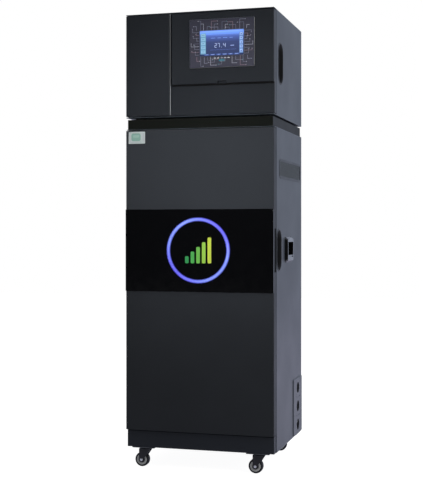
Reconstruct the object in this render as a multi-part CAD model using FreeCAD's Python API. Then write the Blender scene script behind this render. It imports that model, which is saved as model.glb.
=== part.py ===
import FreeCAD, Part
import math
import os

# Online chemical oxygen demand analyzer: a floor cabinet on casters with an upper electronics housing.
# Millimetres. X to the right seen from the front, front faces -Y, +Z up, origin on the floor below the centre.

Vector = FreeCAD.Vector
UP = Vector(0, 0, 1)
RIGHT = Vector(1, 0, 0)
BACK = Vector(0, 1, 0)

# Envelope of the cabinet
body_width = 525.0
body_depth = 474.0
front_proud = 6.0
sheet = 2.0
bend_radius = 2.5
front_flange = 24.0
rear_flange = 18.0
fit_gap = 0.3
running_clearance = 0.05

# Stack of heights, floor upwards
caster_height = 72.0
plinth_height = 58.0
lower_height = 1101.0
neck_height = 33.5
neck_foot_height = 6.0
upper_height = 357.5

# Doors
door_thickness = 38.0
door_sheet = 1.5
door_gap = 3.0
door_rear_gap = 4.0
door_corner_radius = 3.0
hinge_corner_cut = 3.0
pivot_inset = 8.0
pivot_pin_radius = 4.0
pivot_pin_reach = 12.0
pivot_collar_side = 13.0
pivot_block_height = 24.0
pivot_block_side = 9.0
hinge_side_lip = 24.0
free_side_lip = 16.0
grip_depth = 5.0
grip_front_land = 5.0
gasket_width = 8.0
gasket_thickness = 3.0
gasket_edge = 4.0
catch_width = 9.0
catch_height = 40.0
catch_end_distance = 90.0

# Fascia and light ring on the lower door
fascia_height = 281.0
fascia_bottom_height = 542.0
fascia_edge_radius = 1.5
ring_outer_radius = 112.5
ring_inner_radius = 99.0
ring_centre_height = 683.0
ring_thickness = 1.0

# Upper door: pan, left cover panel and screen flap
flap_stand_off = 11.0
flap_running_gap = 0.5
left_cover_width = 163.0
left_cover_gap = 4.0
left_cover_round = 8.0
flap_height = 243.0
flap_pin_inset = 4.5
flap_nose_radius = 4.0
flap_pin_radius = 1.5
flap_ear_thickness = 4.0
flap_ear_reach = 3.4
flap_ear_clearance = 0.6
notch_width = 34.0
notch_height = 8.0
flap_seal_height = 5.0
flap_seal_thickness = 3.0

# Touch panel
panel_width = 228.0
panel_height = 166.0
panel_edge_cut = 3.5
panel_above_flap_bottom = 52.0
housing_width = 206.0
housing_height = 145.0
housing_reach = 34.0
housing_cut_gap = 1.0
bay_clearance = 12.0
screen_width = 154.0
screen_height = 86.0
screen_recess = 1.2
screen_play = 0.15

# Plinth and neck
plinth_set_back = 12.0
plinth_side_inset = 2.0
neck_set_back = 8.0
neck_side_inset = 4.5
neck_rear_inset = 4.0
neck_foot_side = 30.0
neck_foot_edge = 40.0
cable_hole_width = 120.0
cable_hole_depth = 60.0
cable_hole_rear_distance = 80.0
base_plate_set_back = 4.0
cover_set_back = 2.0

# Side furniture, places measured back from the door face and up from the base pan
cup_width = 66.0
cup_height = 136.0
cup_depth = 26.0
cup_wall = 2.0
grip_margin = 6.0
lower_cup_back = 81.0
lower_cup_height = 684.0
upper_cup_back = 106.5
upper_cup_height = 1323.0
handle_length = 104.0
handle_height = 91.0
handle_proud = 10.5
handle_slope_ends = 4.0
handle_slope_edges = 9.0
handle_corner_cut = 5.0
handle_pocket_length = 84.0
handle_pocket_height = 46.0
handle_pocket_depth = 28.0
handle_pocket_rise = 4.0
handle_wall = 2.5
handle_window_gap = 3.0
handle_groove_height = 4.0
handle_groove_depth = 2.5
handle_groove_drop = 7.0
handle_back = 229.0
handle_centre_height = 683.5
vent_length = 366.0
vent_height = 68.0
vent_corner_radius = 20.0
vent_rim = 7.0
vent_rim_proud = 1.0
vent_wall = 2.0
vent_depth = 12.0
vent_back = 268.5
vent_centre_height = 963.0
vent_blade_count = 5
vent_blade_lead = 0.2
vent_blade_thickness = 1.5
vent_blade_drop = 6.0

# Service ports on the right side
port_plate_length = 155.0
port_plate_top_margin = 3.0
port_plate_thickness = 6.0
port_plate_corner_radius = 6.0
port_rear_distance = 77.0
port_lowest = 36.0
port_spacing = 68.0
port_count = 3
port_radius = 20.0
port_block_width = 60.0
port_block_seam = 0.3

# Casters
caster_side_inset = 59.0
caster_front_inset = 42.0
caster_trail = 12.0
caster_plate_length = 80.0
caster_plate_depth = 60.0
caster_plate_thickness = 3.0
caster_race_width = 38.0
caster_race_cut = 11.0
caster_race_height = 3.0
crown_length = 44.0
crown_corner_cut = 9.0
crown_thickness = 4.0
wheel_radius = 25.0
wheel_width = 20.0
tread_sides = 48
hub_lip = 1.0
axle_radius = 3.0
fork_leg_thickness = 3.0
fork_side_gap = 1.0
fork_end_reach = 9.0
fork_end_cut = 5.0

# Inside the lower cabinet
pan_upstand = 18.0
pan_upstand_gap = 2.0
shelf_height = 406.0
shelf_lip = 20.0
shelf_front_back = 84.0
shelf_rear_gap = 38.0
shelf_slot_width = 16.0
shelf_slot_margin = 12.0
tray_front_back = 214.0
tray_side_gap = 35.5
tray_height = 650.0
bottle_count = 4
bottle_side = 106.0
bottle_spacing = 115.0
bottle_height = 200.0
bottle_corner_cut = 12.0
bottle_shoulder = 18.0
cap_radius = 24.0
cap_height = 20.0
cap_ribs = 20
waste_width = 410.0
waste_front_gap = 31.0
waste_rear_gap = 13.0
waste_height = 286.0
waste_cap_radius = 33.0
waste_cap_height = 24.0
tube_radius = 3.0

# Analysis components on the tray
manifold_width = 392.0
manifold_depth = 38.0
manifold_height = 32.0
manifold_above_shelf = 160.0
solenoid_side = 26.0
solenoid_length = 30.0
pump_side_distance = 142.5
pump_above_shelf = 420.0
pump_plate_side = 84.0
pump_plate_thickness = 6.0
pump_plate_corner_cut = 8.0
pump_head_radius = 38.0
pump_head_depth = 30.0
pump_head_drop = 30.0
pump_track_radius = 33.0
pump_tube_radius = 3.0
roller_radius = 6.0
roller_count = 3
roller_sides = 12
rotor_plate_radius = 21.0
rotor_plate_thickness = 3.0
rotor_end_gap = 1.0
pump_shaft_radius = 4.0
digester_side_distance = 157.5
digester_above_shelf = 300.0
digester_width = 150.0
digester_depth = 90.0
digester_height = 230.0
digester_corner_radius = 8.0
digester_wall = 4.0
digester_window_width = 76.0
digester_window_height = 150.0
digester_block = 24.0
glass_outer_radius = 14.0
glass_wall = 2.0

# Inside the upper housing
supply_width = 110.0
supply_height = 200.0
supply_depth = 50.0
supply_side_distance = 92.5
supply_fin_count = 9
supply_fin_height = 6.0
supply_fin_thickness = 3.0
rail_width = 300.0
rail_height = 35.0
rail_depth = 7.5
rail_column = 70.0
rail_above_base = 90.0
terminal_count = 12
terminal_pitch = 20.0
terminal_width = 18.0
terminal_height = 56.0
terminal_depth = 42.0
control_width = 170.0
control_height = 110.0
control_depth = 40.0
control_column = 15.0
control_above_base = 170.0
control_socket_count = 6
control_socket_pitch = 26.0
control_socket_width = 18.0
control_socket_height = 10.0
control_socket_reach = 6.0
component_inset_above_base = 40.0

# Cooling fan on the upper rear panel
fan_side = 80.0
fan_depth = 25.0
fan_corner_cut = 5.0
fan_bore_radius = 37.5
fan_side_distance = 77.5
fan_above_base = 225.0
fan_stator_depth = 5.0
fan_strut_width = 10.0
fan_tip_gap = 1.0
fan_hub_radius = 16.0
fan_hub_sides = 24
fan_blade_count = 6
fan_blade_chord = 17.0
fan_blade_thickness = 1.5
fan_blade_angle = 38.0
fan_shaft_radius = 2.5
rear_slot_count = 6
rear_slot_width = 240.0
rear_slot_lowest = 80.0
grille_slot_count = 7
grille_slot_height = 5.0
grille_slot_pitch = 10.0
grille_slot_radius = 36.0

# Derived planes
half_width = body_width / 2
front_face = -(body_depth + front_proud) / 2
door_front = front_face + front_proud
door_rear = door_front + door_thickness
shell_front = door_rear + door_rear_gap
rear_face = door_front + body_depth
rear_inner = rear_face - sheet
side_inner = half_width - sheet
pan_bottom = caster_height
pan_top = pan_bottom + sheet
plinth_top = pan_bottom + plinth_height
plinth_front = door_front + plinth_set_back
deck_top = pan_bottom + lower_height
deck_bottom = deck_top - sheet
neck_top = deck_top + neck_height
base_bottom = neck_top + neck_foot_height
base_top = base_bottom + sheet
cover_top = base_bottom + upper_height
cover_bottom = cover_top - sheet
lower_door_bottom = plinth_top + door_gap
lower_door_top = deck_bottom - door_gap
upper_door_bottom = base_top + door_gap
upper_door_top = cover_bottom - door_gap
pivot_x = -half_width + pivot_inset
pivot_y = door_rear - pivot_inset
upper_pan_front = door_front + flap_stand_off
flap_left = -half_width + left_cover_width + left_cover_gap
flap_rear = upper_pan_front - flap_running_gap
flap_bottom = upper_door_top - flap_height
flap_axis_y = flap_rear - flap_pin_inset
flap_axis_z = upper_door_top - flap_pin_inset
flap_centre = (flap_left + half_width) / 2
panel_bottom = flap_bottom + panel_above_flap_bottom
panel_centre_z = panel_bottom + panel_height / 2
fascia_front = front_face + ring_thickness
ring_centre_z = pan_bottom + ring_centre_height
fascia_bottom = pan_bottom + fascia_bottom_height
fascia_top = fascia_bottom + fascia_height
cable_hole_y = rear_face - cable_hole_rear_distance - cable_hole_depth / 2
shelf_bottom = pan_bottom + shelf_height
shelf_top = shelf_bottom + sheet
tray_front = door_front + tray_front_back
bottle_y = tray_front - manifold_depth / 2
port_y = rear_inner - port_rear_distance
pump_column = pump_side_distance - half_width
digester_column = half_width - digester_side_distance
supply_column = supply_side_distance - half_width
fan_column = half_width - fan_side_distance
bottle_top = pan_top + bottle_height
cap_top = bottle_top + cap_height
wheel_centre_z = wheel_radius


def block(x_low, x_high, y_low, y_high, z_low, z_high):
    """A straight box between two corners."""
    return Part.makeBox(x_high - x_low, y_high - y_low, z_high - z_low, Vector(x_low, y_low, z_low))


def rod(radius, start, direction, length):
    """A round bar from a start point along a direction."""
    return Part.makeCylinder(radius, length, start, direction)


def on_axis(axis, u, v, along):
    """A point from two section coordinates and a distance along the x, y or z axis."""
    if axis == "x":
        return Vector(along, u, v)
    if axis == "y":
        return Vector(u, along, v)
    return Vector(u, v, along)


def outline(axis, along, corners):
    """A closed wire through corners (u, v, radius), each rounded by its own tangent arc."""
    count = len(corners)
    starts = []
    ends = []
    middles = []
    for index, (u, v, radius) in enumerate(corners):
        corner = Vector(u, v, 0)
        before = Vector(corners[index - 1][0], corners[index - 1][1], 0)
        after_u, after_v, _ = corners[(index + 1) % count]
        after = Vector(after_u, after_v, 0)
        to_before = (before - corner).normalize()
        to_after = (after - corner).normalize()
        half_angle = to_before.getAngle(to_after) / 2
        reach = radius / math.tan(half_angle)
        starts.append(corner + to_before * reach)
        ends.append(corner + to_after * reach)
        middle = (to_before + to_after).normalize()
        middles.append(corner + middle * (radius / math.sin(half_angle) - radius))
    edges = []
    for index in range(count):
        if corners[index][2] > 0:
            arc = [on_axis(axis, p.x, p.y, along) for p in (starts[index], middles[index], ends[index])]
            edges.append(Part.Arc(*arc).toShape())
        begin = ends[index]
        finish = starts[(index + 1) % count]
        if (finish - begin).Length > 1e-6:
            line = [on_axis(axis, p.x, p.y, along) for p in (begin, finish)]
            edges.append(Part.LineSegment(*line).toShape())
    return Part.Wire(edges)


def prism(axis, low, high, corners):
    """A straight prism along an axis from an outline of rounded corners."""
    face = Part.Face(outline(axis, low, corners))
    return face.extrude(on_axis(axis, 0, 0, high - low))


def rounded_rectangle(u_centre, v_centre, width, height, radius):
    """Corner list of a rectangle whose four corners share one radius."""
    half_u = width / 2
    half_v = height / 2
    return [
        (u_centre - half_u, v_centre - half_v, radius),
        (u_centre + half_u, v_centre - half_v, radius),
        (u_centre + half_u, v_centre + half_v, radius),
        (u_centre - half_u, v_centre + half_v, radius),
    ]


def chamfered_rectangle(u_centre, v_centre, width, height, cut):
    """Corner list of a rectangle whose four corners are cut off at 45 degrees."""
    half_u = width / 2
    half_v = height / 2
    return [
        (u_centre - half_u + cut, v_centre - half_v, 0),
        (u_centre + half_u - cut, v_centre - half_v, 0),
        (u_centre + half_u, v_centre - half_v + cut, 0),
        (u_centre + half_u, v_centre + half_v - cut, 0),
        (u_centre + half_u - cut, v_centre + half_v, 0),
        (u_centre - half_u + cut, v_centre + half_v, 0),
        (u_centre - half_u, v_centre + half_v - cut, 0),
        (u_centre - half_u, v_centre - half_v + cut, 0),
    ]


def many_sided(u_centre, v_centre, radius, sides):
    """Corner list of a regular polygon whose flats lie at the radius, one of them at the bottom."""
    step = 2 * math.pi / sides
    corner_radius = radius / math.cos(step / 2)
    corners = []
    for index in range(sides):
        angle = (index + 0.5) * step - math.pi / 2
        corners.append(
            (u_centre + corner_radius * math.cos(angle), v_centre + corner_radius * math.sin(angle), 0)
        )
    return corners


def obround(axis, low, high, u_centre, v_centre, width, height):
    """A prism with two straight sides and two half-round ends, taller than it is wide."""
    return prism(axis, low, high, rounded_rectangle(u_centre, v_centre, width, height, width / 2))


def mirrored(shape):
    """The same piece on the other side of the cabinet's middle plane."""
    return shape.mirror(Vector(0, 0, 0), RIGHT)


# Lower cabinet shell


def base_pan():
    """Bottom tray of the cabinet with an upstand all round that holds back a spill."""
    plate = block(-half_width, half_width, shell_front, rear_inner, pan_bottom, pan_top)
    edge = side_inner
    front = shell_front + sheet + pan_upstand_gap
    back = rear_inner - sheet - pan_upstand_gap
    outer = block(-edge, edge, front, back, pan_top, pan_top + pan_upstand)
    inner = block(-edge + sheet, edge - sheet, front + sheet, back - sheet, pan_top, pan_top + pan_upstand)
    return plate.fuse(outer.cut(inner)).removeSplitter()


def plinth():
    """Folded strip below the door, set back from it, with closed ends."""
    edge = half_width - plinth_side_inset
    corners = [
        (shell_front, pan_bottom, 0),
        (plinth_front, pan_bottom, bend_radius),
        (plinth_front, plinth_top, bend_radius),
        (shell_front, plinth_top, 0),
    ]
    outer = prism("x", -edge, edge, corners)
    inner = block(
        -edge + sheet, edge - sheet, plinth_front + sheet, shell_front, pan_bottom + sheet, plinth_top - sheet
    )
    return outer.cut(inner)


def folded_side(bottom, top):
    """Right-hand side wall: a sheet with a front return for the door seal and a rear return for the back panel."""
    front_edge = half_width - front_flange
    rear_edge = half_width - rear_flange
    corners = [
        (front_edge, shell_front, 0),
        (half_width, shell_front, bend_radius),
        (half_width, rear_inner, 0),
        (rear_edge, rear_inner, 0),
        (rear_edge, rear_inner - sheet, 0),
        (side_inner, rear_inner - sheet, 0),
        (side_inner, shell_front + sheet, 0),
        (front_edge, shell_front + sheet, 0),
    ]
    return prism("z", bottom, top, corners)


def cup_window(back, height):
    """Cut-out of a side wall for the body of a pull cup."""
    width = cup_width + 2 * cup_wall + 2 * fit_gap
    tall = cup_height + 2 * cup_wall + 2 * fit_gap
    return obround("x", side_inner, half_width, door_front + back, pan_bottom + height, width, tall)


def lower_side(free_side):
    """Side wall of the lower cabinet with handle and vent cut-outs, and on the free side the cup and the ports."""
    wall = folded_side(pan_top, deck_bottom)
    handle_y = door_front + handle_back
    handle_z = pan_bottom + handle_centre_height + handle_pocket_rise
    half_long = handle_pocket_length / 2 + handle_wall + handle_window_gap
    half_tall = handle_pocket_height / 2 + handle_wall + handle_window_gap
    wall = wall.cut(
        block(
            side_inner, half_width, handle_y - half_long, handle_y + half_long,
            handle_z - half_tall, handle_z + half_tall,
        )
    )
    vent_y = door_front + vent_back
    vent_z = pan_bottom + vent_centre_height
    half_vent_length = vent_length / 2 - vent_rim + fit_gap
    half_vent_height = vent_height / 2 - vent_rim + fit_gap
    wall = wall.cut(
        block(
            side_inner, half_width, vent_y - half_vent_length, vent_y + half_vent_length,
            vent_z - half_vent_height, vent_z + half_vent_height,
        )
    )
    if free_side:
        wall = wall.cut(cup_window(lower_cup_back, lower_cup_height))
        reach = port_block_width / 2 - sheet
        low, high = port_field()
        wall = wall.cut(
            block(side_inner, half_width, port_y - reach, port_y + reach, low + sheet, high - sheet)
        )
    return wall


def rear_panel():
    """Flat back of the lower cabinet with air slots near its foot."""
    panel = block(-half_width, half_width, rear_inner, rear_face, pan_bottom, deck_bottom)
    slots = []
    for row in range(rear_slot_count):
        z = pan_bottom + rear_slot_lowest + row * grille_slot_pitch
        slots.append(
            block(-rear_slot_width / 2, rear_slot_width / 2, rear_inner, rear_face, z, z + grille_slot_height)
        )
    return panel.cut(Part.makeCompound(slots))


def cable_hole(bottom, top):
    """Passage for the wiring between the two housings."""
    return block(
        -cable_hole_width / 2, cable_hole_width / 2, cable_hole_y - cable_hole_depth / 2,
        cable_hole_y + cable_hole_depth / 2, bottom, top,
    )


def top_deck():
    """Top plate of the lower cabinet, whose front lip reaches over the door and carries its upper pivot."""
    plate = block(-half_width, half_width, door_front + neck_set_back, rear_face, deck_bottom, deck_top)
    return plate.cut(cable_hole(deck_bottom, deck_top))


def neck_frame():
    """Black folded spacer between the housings, closed on top apart from the cable passage."""
    edge = half_width - neck_side_inset
    front = door_front + neck_set_back
    back = rear_face - neck_rear_inset
    outer = block(-edge, edge, front, back, deck_top, neck_top)
    inner = block(-edge + sheet, edge - sheet, front + sheet, back - sheet, deck_top, neck_top - sheet)
    return outer.cut(inner).cut(cable_hole(neck_top - sheet, neck_top))


def neck_feet():
    """Four square pads that hold the upper housing just clear of the neck."""
    feet = []
    for x in (-half_width + neck_foot_edge, half_width - neck_foot_edge):
        for y in (door_front + neck_set_back + neck_foot_edge, rear_face - neck_foot_edge):
            half = neck_foot_side / 2
            feet.append(block(x - half, x + half, y - half, y + half, neck_top, base_bottom))
    return feet


# Upper housing shell


def upper_base_plate():
    """Floor of the upper housing, whose front lip carries the door's lower pivot."""
    plate = block(-half_width, half_width, door_front + base_plate_set_back, rear_face, base_bottom, base_top)
    return plate.cut(cable_hole(base_bottom, base_top))


def upper_side(free_side):
    """Side wall of the upper housing, with a pull cup cut-out on the free side."""
    wall = folded_side(base_top, cover_bottom)
    if free_side:
        wall = wall.cut(cup_window(upper_cup_back, upper_cup_height))
    return wall


def upper_top_cover():
    """Flat top of the upper housing with two welded ribs inside, whose front lip carries the upper pivot."""
    plate = block(-half_width, half_width, door_front + cover_set_back, rear_face, cover_bottom, cover_top)
    rib_back = rear_inner - sheet - pan_upstand_gap
    for x in (-side_inner, side_inner - sheet):
        plate = plate.fuse(
            block(x, x + sheet, shell_front + sheet + pan_upstand_gap, rib_back,
                  cover_bottom - pan_upstand, cover_bottom)
        )
    return plate.removeSplitter()


def upper_rear_panel():
    """Flat back of the upper housing with a slotted round grille in front of the fan."""
    panel = block(-half_width, half_width, rear_inner, rear_face, base_top, cover_bottom)
    centre_z = base_top + fan_above_base
    slots = []
    for index in range(grille_slot_count):
        offset = (index - (grille_slot_count - 1) / 2) * grille_slot_pitch
        half_slot = math.sqrt(grille_slot_radius**2 - (abs(offset) + grille_slot_height / 2) ** 2)
        slots.append(
            block(fan_column - half_slot, fan_column + half_slot, rear_inner, rear_face,
                  centre_z + offset - grille_slot_height / 2, centre_z + offset + grille_slot_height / 2)
        )
    return panel.cut(Part.makeCompound(slots))


# Side furniture


def pull_cup(back, height):
    """Moulded obround finger cup, set flush in the right-hand wall."""
    y = door_front + back
    z = pan_bottom + height
    floor = half_width - cup_depth
    body = obround("x", floor - cup_wall, half_width, y, z, cup_width + 2 * cup_wall, cup_height + 2 * cup_wall)
    return body.cut(obround("x", floor, half_width, y, z, cup_width, cup_height))


def pull_cups():
    """Two cups on the free side of the doors: one in each housing."""
    return [pull_cup(lower_cup_back, lower_cup_height), pull_cup(upper_cup_back, upper_cup_height)]


def side_handle():
    """Moulded carrying handle on the right-hand wall: a raised frame with sloped sides and a deep finger pocket."""
    y = door_front + handle_back
    z = pan_bottom + handle_centre_height
    base = outline("x", half_width, chamfered_rectangle(y, z, handle_length, handle_height, handle_corner_cut))
    crest = outline(
        "x", half_width + handle_proud,
        chamfered_rectangle(
            y, z, handle_length - 2 * handle_slope_ends, handle_height - 2 * handle_slope_edges, handle_corner_cut
        ),
    )
    frame = Part.makeLoft([base, crest], True, True)
    pocket_z = z + handle_pocket_rise
    half_long = handle_pocket_length / 2
    half_tall = handle_pocket_height / 2
    floor = half_width - handle_pocket_depth
    shell = block(
        floor - handle_wall, half_width, y - half_long - handle_wall, y + half_long + handle_wall,
        pocket_z - half_tall - handle_wall, pocket_z + half_tall + handle_wall,
    )
    pocket = block(
        floor, half_width + handle_proud, y - half_long, y + half_long, pocket_z - half_tall, pocket_z + half_tall
    )
    groove_top = pocket_z - half_tall - handle_groove_drop + handle_groove_height
    groove = block(
        half_width + handle_proud - handle_groove_depth, half_width + handle_proud, y - half_long, y + half_long,
        groove_top - handle_groove_height, groove_top,
    )
    return frame.fuse(shell).cut(pocket).cut(groove).removeSplitter()


def side_handles():
    """One handle on each side."""
    right = side_handle()
    return [right, mirrored(right)]


def vent_grille():
    """Louvred insert of the right-hand wall: a rounded rim in front of a box with sloping blades."""
    y = door_front + vent_back
    z = pan_bottom + vent_centre_height
    body_length = vent_length - 2 * vent_rim
    body_height = vent_height - 2 * vent_rim
    opening_length = body_length - 2 * vent_wall
    opening_height = body_height - 2 * vent_wall
    inner = half_width - vent_depth
    outer = half_width + vent_rim_proud
    rim = prism("x", half_width, outer, rounded_rectangle(y, z, vent_length, vent_height, vent_corner_radius))
    window = block(half_width, outer, y - opening_length / 2, y + opening_length / 2, z - opening_height / 2,
                   z + opening_height / 2)
    body = block(inner, half_width, y - body_length / 2, y + body_length / 2, z - body_height / 2,
                 z + body_height / 2)
    hollow = block(inner, half_width, y - opening_length / 2, y + opening_length / 2, z - opening_height / 2,
                   z + opening_height / 2)
    pitch = opening_height / vent_blade_count
    blades = []
    for index in range(vent_blade_count):
        top = z + opening_height / 2 - (index + vent_blade_lead) * pitch
        blades.append(
            prism("y", y - opening_length / 2, y + opening_length / 2, [
                (inner, top, 0),
                (half_width - sheet, top - vent_blade_drop, 0),
                (half_width - sheet, top - vent_blade_drop - vent_blade_thickness, 0),
                (inner, top - vent_blade_thickness, 0),
            ])
        )
    return rim.cut(window).multiFuse([body.cut(hollow)] + blades).removeSplitter()


def vent_grilles():
    """One louvred insert on each side."""
    right = vent_grille()
    return [right, mirrored(right)]


def port_heights():
    """Heights of the port centres, lowest first."""
    return [pan_bottom + port_lowest + index * port_spacing for index in range(port_count)]


def port_field():
    """Lowest and highest level of the stack of port blocks."""
    return port_heights()[0] - port_spacing / 2, port_heights()[-1] + port_spacing / 2


def port_plate():
    """Raised plate at the lower rear of the right side with one window for the port blocks."""
    front = rear_inner - port_plate_length
    field_low, field_high = port_field()
    low = pan_bottom + sheet
    high = field_high + port_plate_top_margin
    corners = [
        (front, low, port_plate_corner_radius),
        (rear_inner, low, port_plate_corner_radius),
        (rear_inner, high, port_plate_corner_radius),
        (front, high, port_plate_corner_radius),
    ]
    plate = prism("x", half_width, half_width + port_plate_thickness, corners)
    half_block = port_block_width / 2 + port_block_seam
    return plate.cut(
        block(
            half_width, half_width + port_plate_thickness, port_y - half_block, port_y + half_block,
            field_low, field_high,
        )
    )


def port_blocks():
    """Three blocks set flush in the plate, each with one round port for a sample line, a drain or a cable."""
    half_block = port_block_width / 2
    half_tall = port_spacing / 2 - port_block_seam
    blocks = []
    for z in port_heights():
        body = block(
            half_width, half_width + port_plate_thickness, port_y - half_block, port_y + half_block,
            z - half_tall, z + half_tall,
        )
        blocks.append(body.cut(rod(port_radius, Vector(half_width, port_y, z), RIGHT, port_plate_thickness)))
    return blocks


# Doors


def door_full_outline(front):
    """Plan of a door block: bevelled on the rear hinge corner, softly rounded at the front."""
    return [
        (-half_width + hinge_corner_cut, door_rear, 0),
        (-half_width, door_rear - hinge_corner_cut, 0),
        (-half_width, front, door_corner_radius),
        (half_width, front, door_corner_radius),
        (half_width, door_rear, 0),
    ]


def folded_door(front, bottom, top):
    """A door pan folded from one sheet, with rear lips, end plates and a drilled block at each pivot."""
    full = door_full_outline(front)
    inner_cut = hinge_corner_cut - door_sheet * (2 - math.sqrt(2))
    section = [(-half_width + hinge_side_lip, door_rear, 0)] + full + [
        (half_width - free_side_lip, door_rear, 0),
        (half_width - free_side_lip, door_rear - door_sheet, 0),
        (half_width - door_sheet, door_rear - door_sheet, 0),
        (half_width - door_sheet, front + door_sheet, 0),
        (-half_width + door_sheet, front + door_sheet, 0),
        (-half_width + door_sheet, door_rear - door_sheet - inner_cut, 0),
        (-half_width + door_sheet + inner_cut, door_rear - door_sheet, 0),
        (-half_width + hinge_side_lip, door_rear - door_sheet, 0),
    ]
    pieces = [
        prism("z", bottom, bottom + door_sheet, full),
        prism("z", top - door_sheet, top, full),
    ]
    for low, high in ((bottom, bottom + pivot_block_height), (top - pivot_block_height, top)):
        corner = block(
            -half_width, pivot_x + pivot_block_side, pivot_y - pivot_block_side, door_rear, low, high
        )
        pieces.append(corner.common(prism("z", low, high, full)))
    door = prism("z", bottom, top, section).multiFuse(pieces).removeSplitter()
    bore = pivot_pin_radius + running_clearance
    depth = pivot_pin_reach + fit_gap
    door = door.cut(rod(bore, Vector(pivot_x, pivot_y, bottom), UP, depth))
    return door.cut(rod(bore, Vector(pivot_x, pivot_y, top - depth), UP, depth))


def lower_door_skin():
    """Outer pan of the lower door with a finger relief in its free edge beside the pull cup."""
    skin = folded_door(door_front, lower_door_bottom, lower_door_top)
    z = pan_bottom + lower_cup_height
    half_tall = cup_height / 2 + grip_margin
    backing = block(
        half_width - grip_depth - door_sheet, half_width - door_sheet / 2, door_front + grip_front_land - door_sheet,
        door_rear - door_sheet / 2, z - half_tall - door_sheet, z + half_tall + door_sheet,
    )
    relief = block(
        half_width - grip_depth, half_width, door_front + grip_front_land, door_rear, z - half_tall, z + half_tall
    )
    return skin.fuse(backing).cut(relief).removeSplitter()


def lower_door_liner():
    """Inner sheet of the lower door, behind its lips, with a raised middle field."""
    front = door_rear - door_sheet - sheet
    left = -half_width + pivot_inset + 2 * door_sheet
    right = half_width - grip_depth - 2 * door_sheet
    low = lower_door_bottom + door_sheet
    high = lower_door_top - door_sheet
    plate = block(left, right, front, front + sheet, low + pivot_block_height, high - pivot_block_height)
    field = block(
        -half_width + hinge_side_lip + sheet, half_width - free_side_lip - sheet, front + sheet, door_rear,
        low + pivot_block_height, high - pivot_block_height,
    )
    return plate.fuse(field).removeSplitter()


def fascia_panel():
    """Black gloss acrylic band across the lower door."""
    return prism("z", fascia_bottom, fascia_top, [
        (-half_width, door_front, 0),
        (-half_width, fascia_front, fascia_edge_radius),
        (half_width, fascia_front, fascia_edge_radius),
        (half_width, door_front, 0),
    ])


def light_ring():
    """Translucent ring bonded on the face of the fascia."""
    centre = Vector(0, front_face, ring_centre_z)
    disc = rod(ring_outer_radius, centre, BACK, ring_thickness)
    return disc.cut(rod(ring_inner_radius, centre, BACK, ring_thickness))


def door_gasket(bottom, top):
    """Rubber frame on the back of a door that meets the returns of the housing."""
    left = -half_width + pivot_inset + gasket_edge
    right = half_width - gasket_edge
    low = bottom + gasket_edge
    high = top - gasket_edge
    outer = block(left, right, door_rear, door_rear + gasket_thickness, low, high)
    inner = block(
        left + gasket_width, right - gasket_width, door_rear, door_rear + gasket_thickness,
        low + gasket_width, high - gasket_width,
    )
    return outer.cut(inner)


def upper_door_pan():
    """Folded pan of the upper door with a bay for the touch panel and two ears with the pins of the flap."""
    pan = folded_door(upper_pan_front, upper_door_bottom, upper_door_top)
    half_bay_width = housing_width / 2 + bay_clearance
    half_bay_height = housing_height / 2 + bay_clearance
    pan = pan.cut(
        block(
            flap_centre - half_bay_width, flap_centre + half_bay_width, upper_pan_front,
            upper_pan_front + door_sheet, panel_centre_z - half_bay_height, panel_centre_z + half_bay_height,
        )
    )
    left_ear, right_ear = flap_ear_places()
    pin_length = flap_running_gap + door_sheet + flap_ear_thickness
    for ear, pin_start in ((left_ear, left_ear + flap_ear_thickness - pin_length), (right_ear, right_ear)):
        nose = flap_axis_y - flap_ear_reach
        arm = prism("x", ear, ear + flap_ear_thickness, [
            (upper_pan_front + door_sheet, flap_axis_z - flap_ear_reach, 0),
            (flap_axis_y - flap_ear_reach / 2, flap_axis_z - flap_ear_reach, 0),
            (nose, flap_axis_z - flap_ear_reach / 2, 0),
            (nose, flap_axis_z + flap_ear_reach / 2, 0),
            (flap_axis_y - flap_ear_reach / 2, flap_axis_z + flap_ear_reach, 0),
            (upper_pan_front + door_sheet, flap_axis_z + flap_ear_reach, 0),
        ])
        pin = rod(flap_pin_radius, Vector(pin_start, flap_axis_y, flap_axis_z), RIGHT, pin_length)
        pan = pan.fuse(arm).fuse(pin)
    return pan.removeSplitter()


def flap_ear_places():
    """Left faces of the two ears, just inside the side walls of the flap."""
    inset = door_sheet + flap_running_gap
    return (flap_left + inset, half_width - inset - flap_ear_thickness)


def left_cover_panel():
    """Tall cover on the left of the upper door, boldly rounded on the edge beside the flap."""
    right = -half_width + left_cover_width
    outer = prism("z", upper_door_bottom, upper_door_top, [
        (-half_width, upper_pan_front, 0),
        (-half_width, door_front, door_corner_radius),
        (right, door_front, left_cover_round),
        (right, upper_pan_front, 0),
    ])
    inner = prism("z", upper_door_bottom + door_sheet, upper_door_top - door_sheet, [
        (-half_width + door_sheet, upper_pan_front, 0),
        (-half_width + door_sheet, door_front + door_sheet, 0),
        (right - door_sheet, door_front + door_sheet, left_cover_round - door_sheet),
        (right - door_sheet, upper_pan_front, 0),
    ])
    return outer.cut(inner)


def flap_notch(depth_low, depth_high, grow):
    """Finger notch in the lower edge of the screen flap."""
    half_notch = notch_width / 2 + grow
    top = flap_bottom + notch_height + grow
    return prism("y", depth_low, depth_high, [
        (flap_centre - half_notch, flap_bottom - sheet, 0),
        (flap_centre + half_notch, flap_bottom - sheet, 0),
        (flap_centre + half_notch, top, 0),
        (flap_centre - half_notch, top, 0),
    ])


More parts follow.
